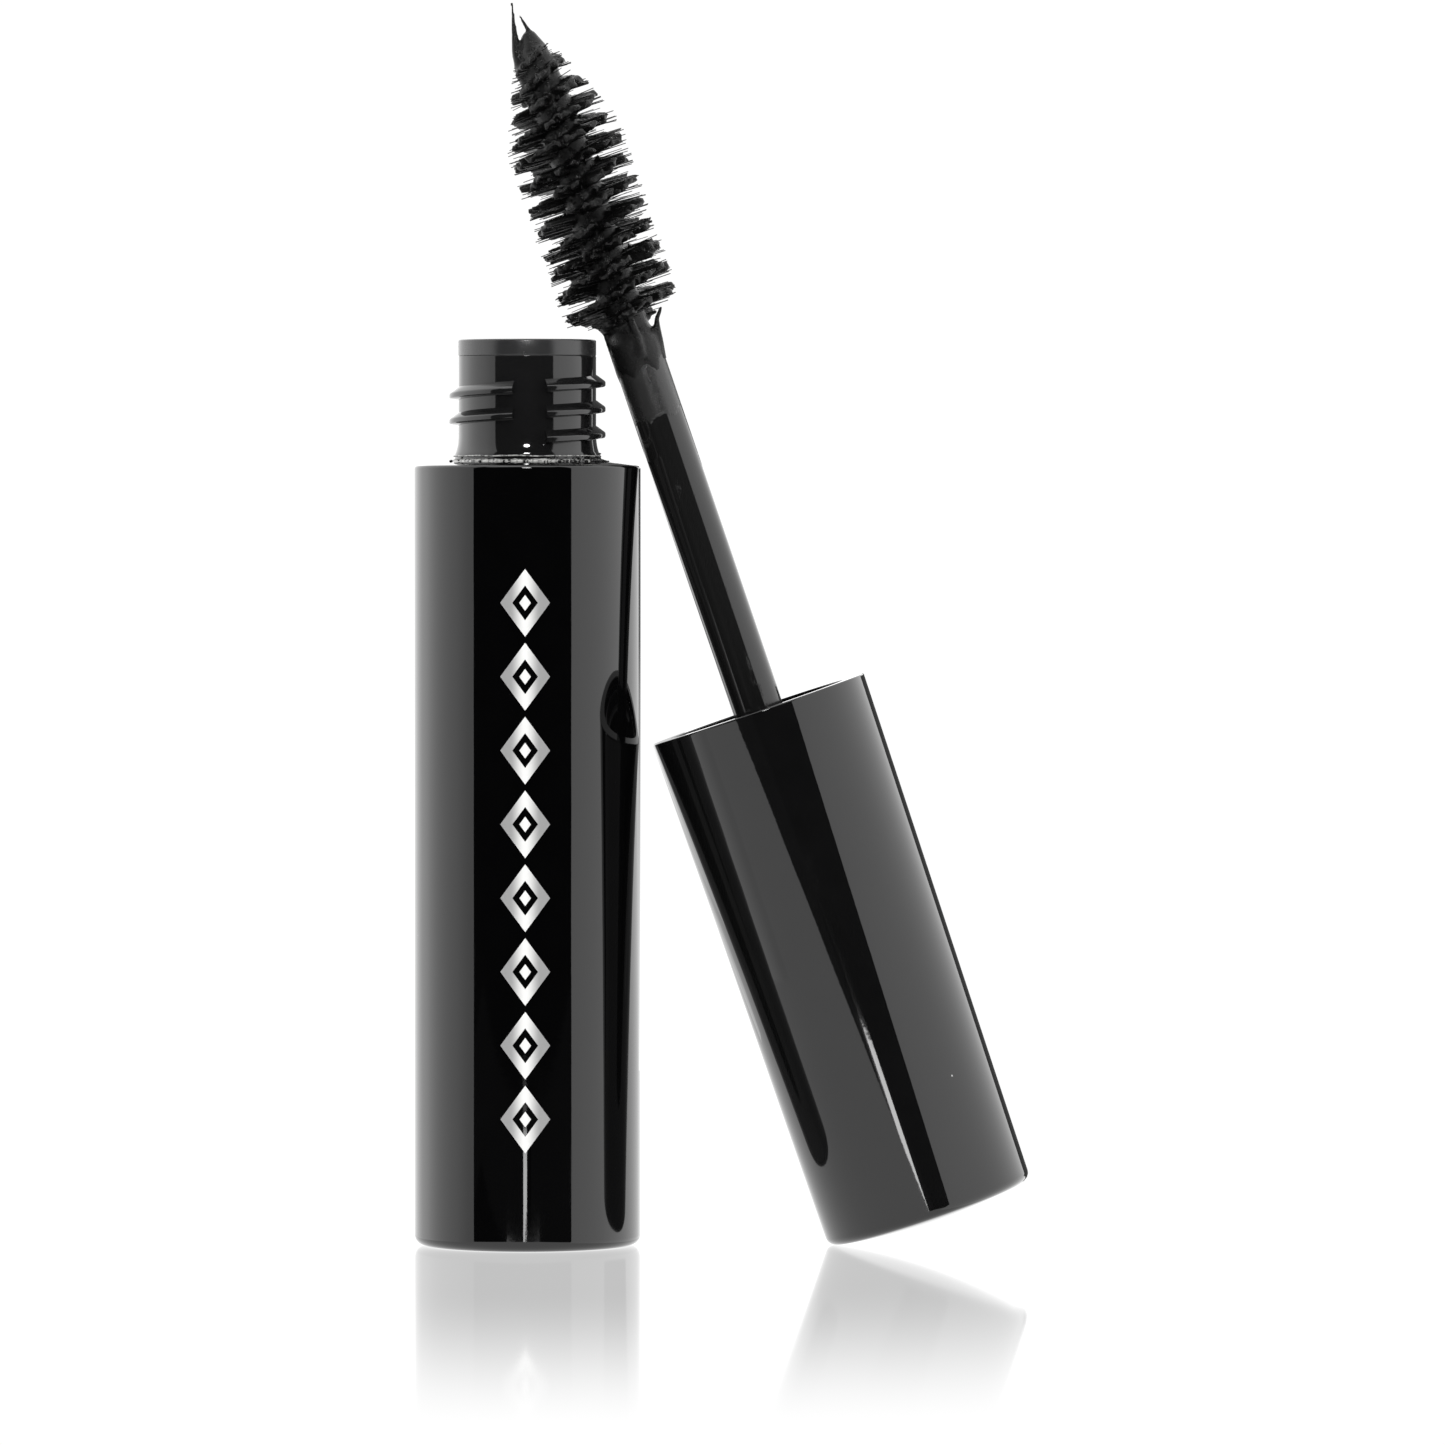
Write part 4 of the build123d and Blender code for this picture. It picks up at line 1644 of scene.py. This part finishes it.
    def _strips(self) -> list[Panel]:
        """The narrow strips that make the sleeve's line and the cap's streak."""
        line = upright((-47, -800), (3, -800), -40, -400)
        streak = ((-60, -800, -68.7), (60, -800, -36), (60, -800, -400), (-60, -800, -400))
        dim = {"axis": 0, "diffuse": False}
        return [
            Panel("sleeve_strip", line, ((-47, 10.0), (3, 10.0)), seen_by=("sleeve",), **dim),
            Panel("cap_strip", streak, STREAK_GLOW, seen_by=("cap",), **dim),
        ]

    def _flags(self) -> list[Panel]:
        """The dark flags close to the right edges of the cap, the sleeve and the neck."""
        seat = self.wand.matrix()
        corners = upright((9.2, 13.0), (18.5, 13.0), -48.0, 1.0)
        card = tuple(tuple(seat @ Vector(corner) / MM) for corner in corners)
        flag = upright((9.6, 8.0), (13.0, 8.0), 14.0, 64.8)
        flags = [
            Panel("edge_card", card, ((-300, 0.1), (300, 0.1)), diffuse=False, reach=22.0),
            Panel("sleeve_flag", flag, FLAG_GLOW, axis=2, diffuse=False, reach=14.0),
        ]
        for number, (low, high) in enumerate(((5.9, 11.2), (12.0, 16.5))):
            flag = upright((low, 6.0), (high, 6.0), 65.2, 76.5)
            dark = ((0, 0.12), (20, 0.12))
            flags.append(Panel(f"neck_flag_{number}", flag, dark, diffuse=False, reach=14.0))
        return flags

    def _far(self) -> list[Panel]:
        """The four far walls that only the floor sees, and the round lamp."""
        far, walls = self.wall_far, []
        corners = upright((-far, far), (far, far), -60.0, 1600.0)
        pale = ((-far, 1.03), (far, 1.03))
        for number in range(4):
            turn = Matrix.Rotation(math.tau * number / 4, 4, "Z")
            wall = tuple(tuple(turn @ Vector(corner)) for corner in corners)
            walls.append(Panel(f"wall_{number}", wall, pale, diffuse=False, seen_by=("floor",)))
        turns = [math.tau * step / self.lamp_sides for step in range(self.lamp_sides)]
        disc = tuple((6 + 62 * math.cos(turn), -700.0, 350 + 52 * math.sin(turn)) for turn in turns)
        return [*walls, Panel("top_lamp", disc, ((-80, 70.0), (90, 70.0)), axis=0, diffuse=False)]


def wand_seat() -> Seat:
    """The wand's upright frame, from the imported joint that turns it."""
    joint = next(j for j in frame["joints"] if j["name"] == "cap_turn")
    axis = joint["axis"]
    return Seat(tuple(joint["pos_m"]), math.atan2(axis[0], axis[2]))


def main() -> None:
    """Builds the studio, the tube and the wand."""
    logging.basicConfig(level=logging.INFO, format="%(name)s: %(message)s")
    draw = random.Random(SEED)
    seat = wand_seat()
    Sleeve().build()
    FoilColumn().build()
    Neck().build(draw)
    Cap(seat).build()
    Stem(seat).build()
    Brush(seat).build(draw)
    Studio(seat).build()


if __name__ == "__main__":
    main()
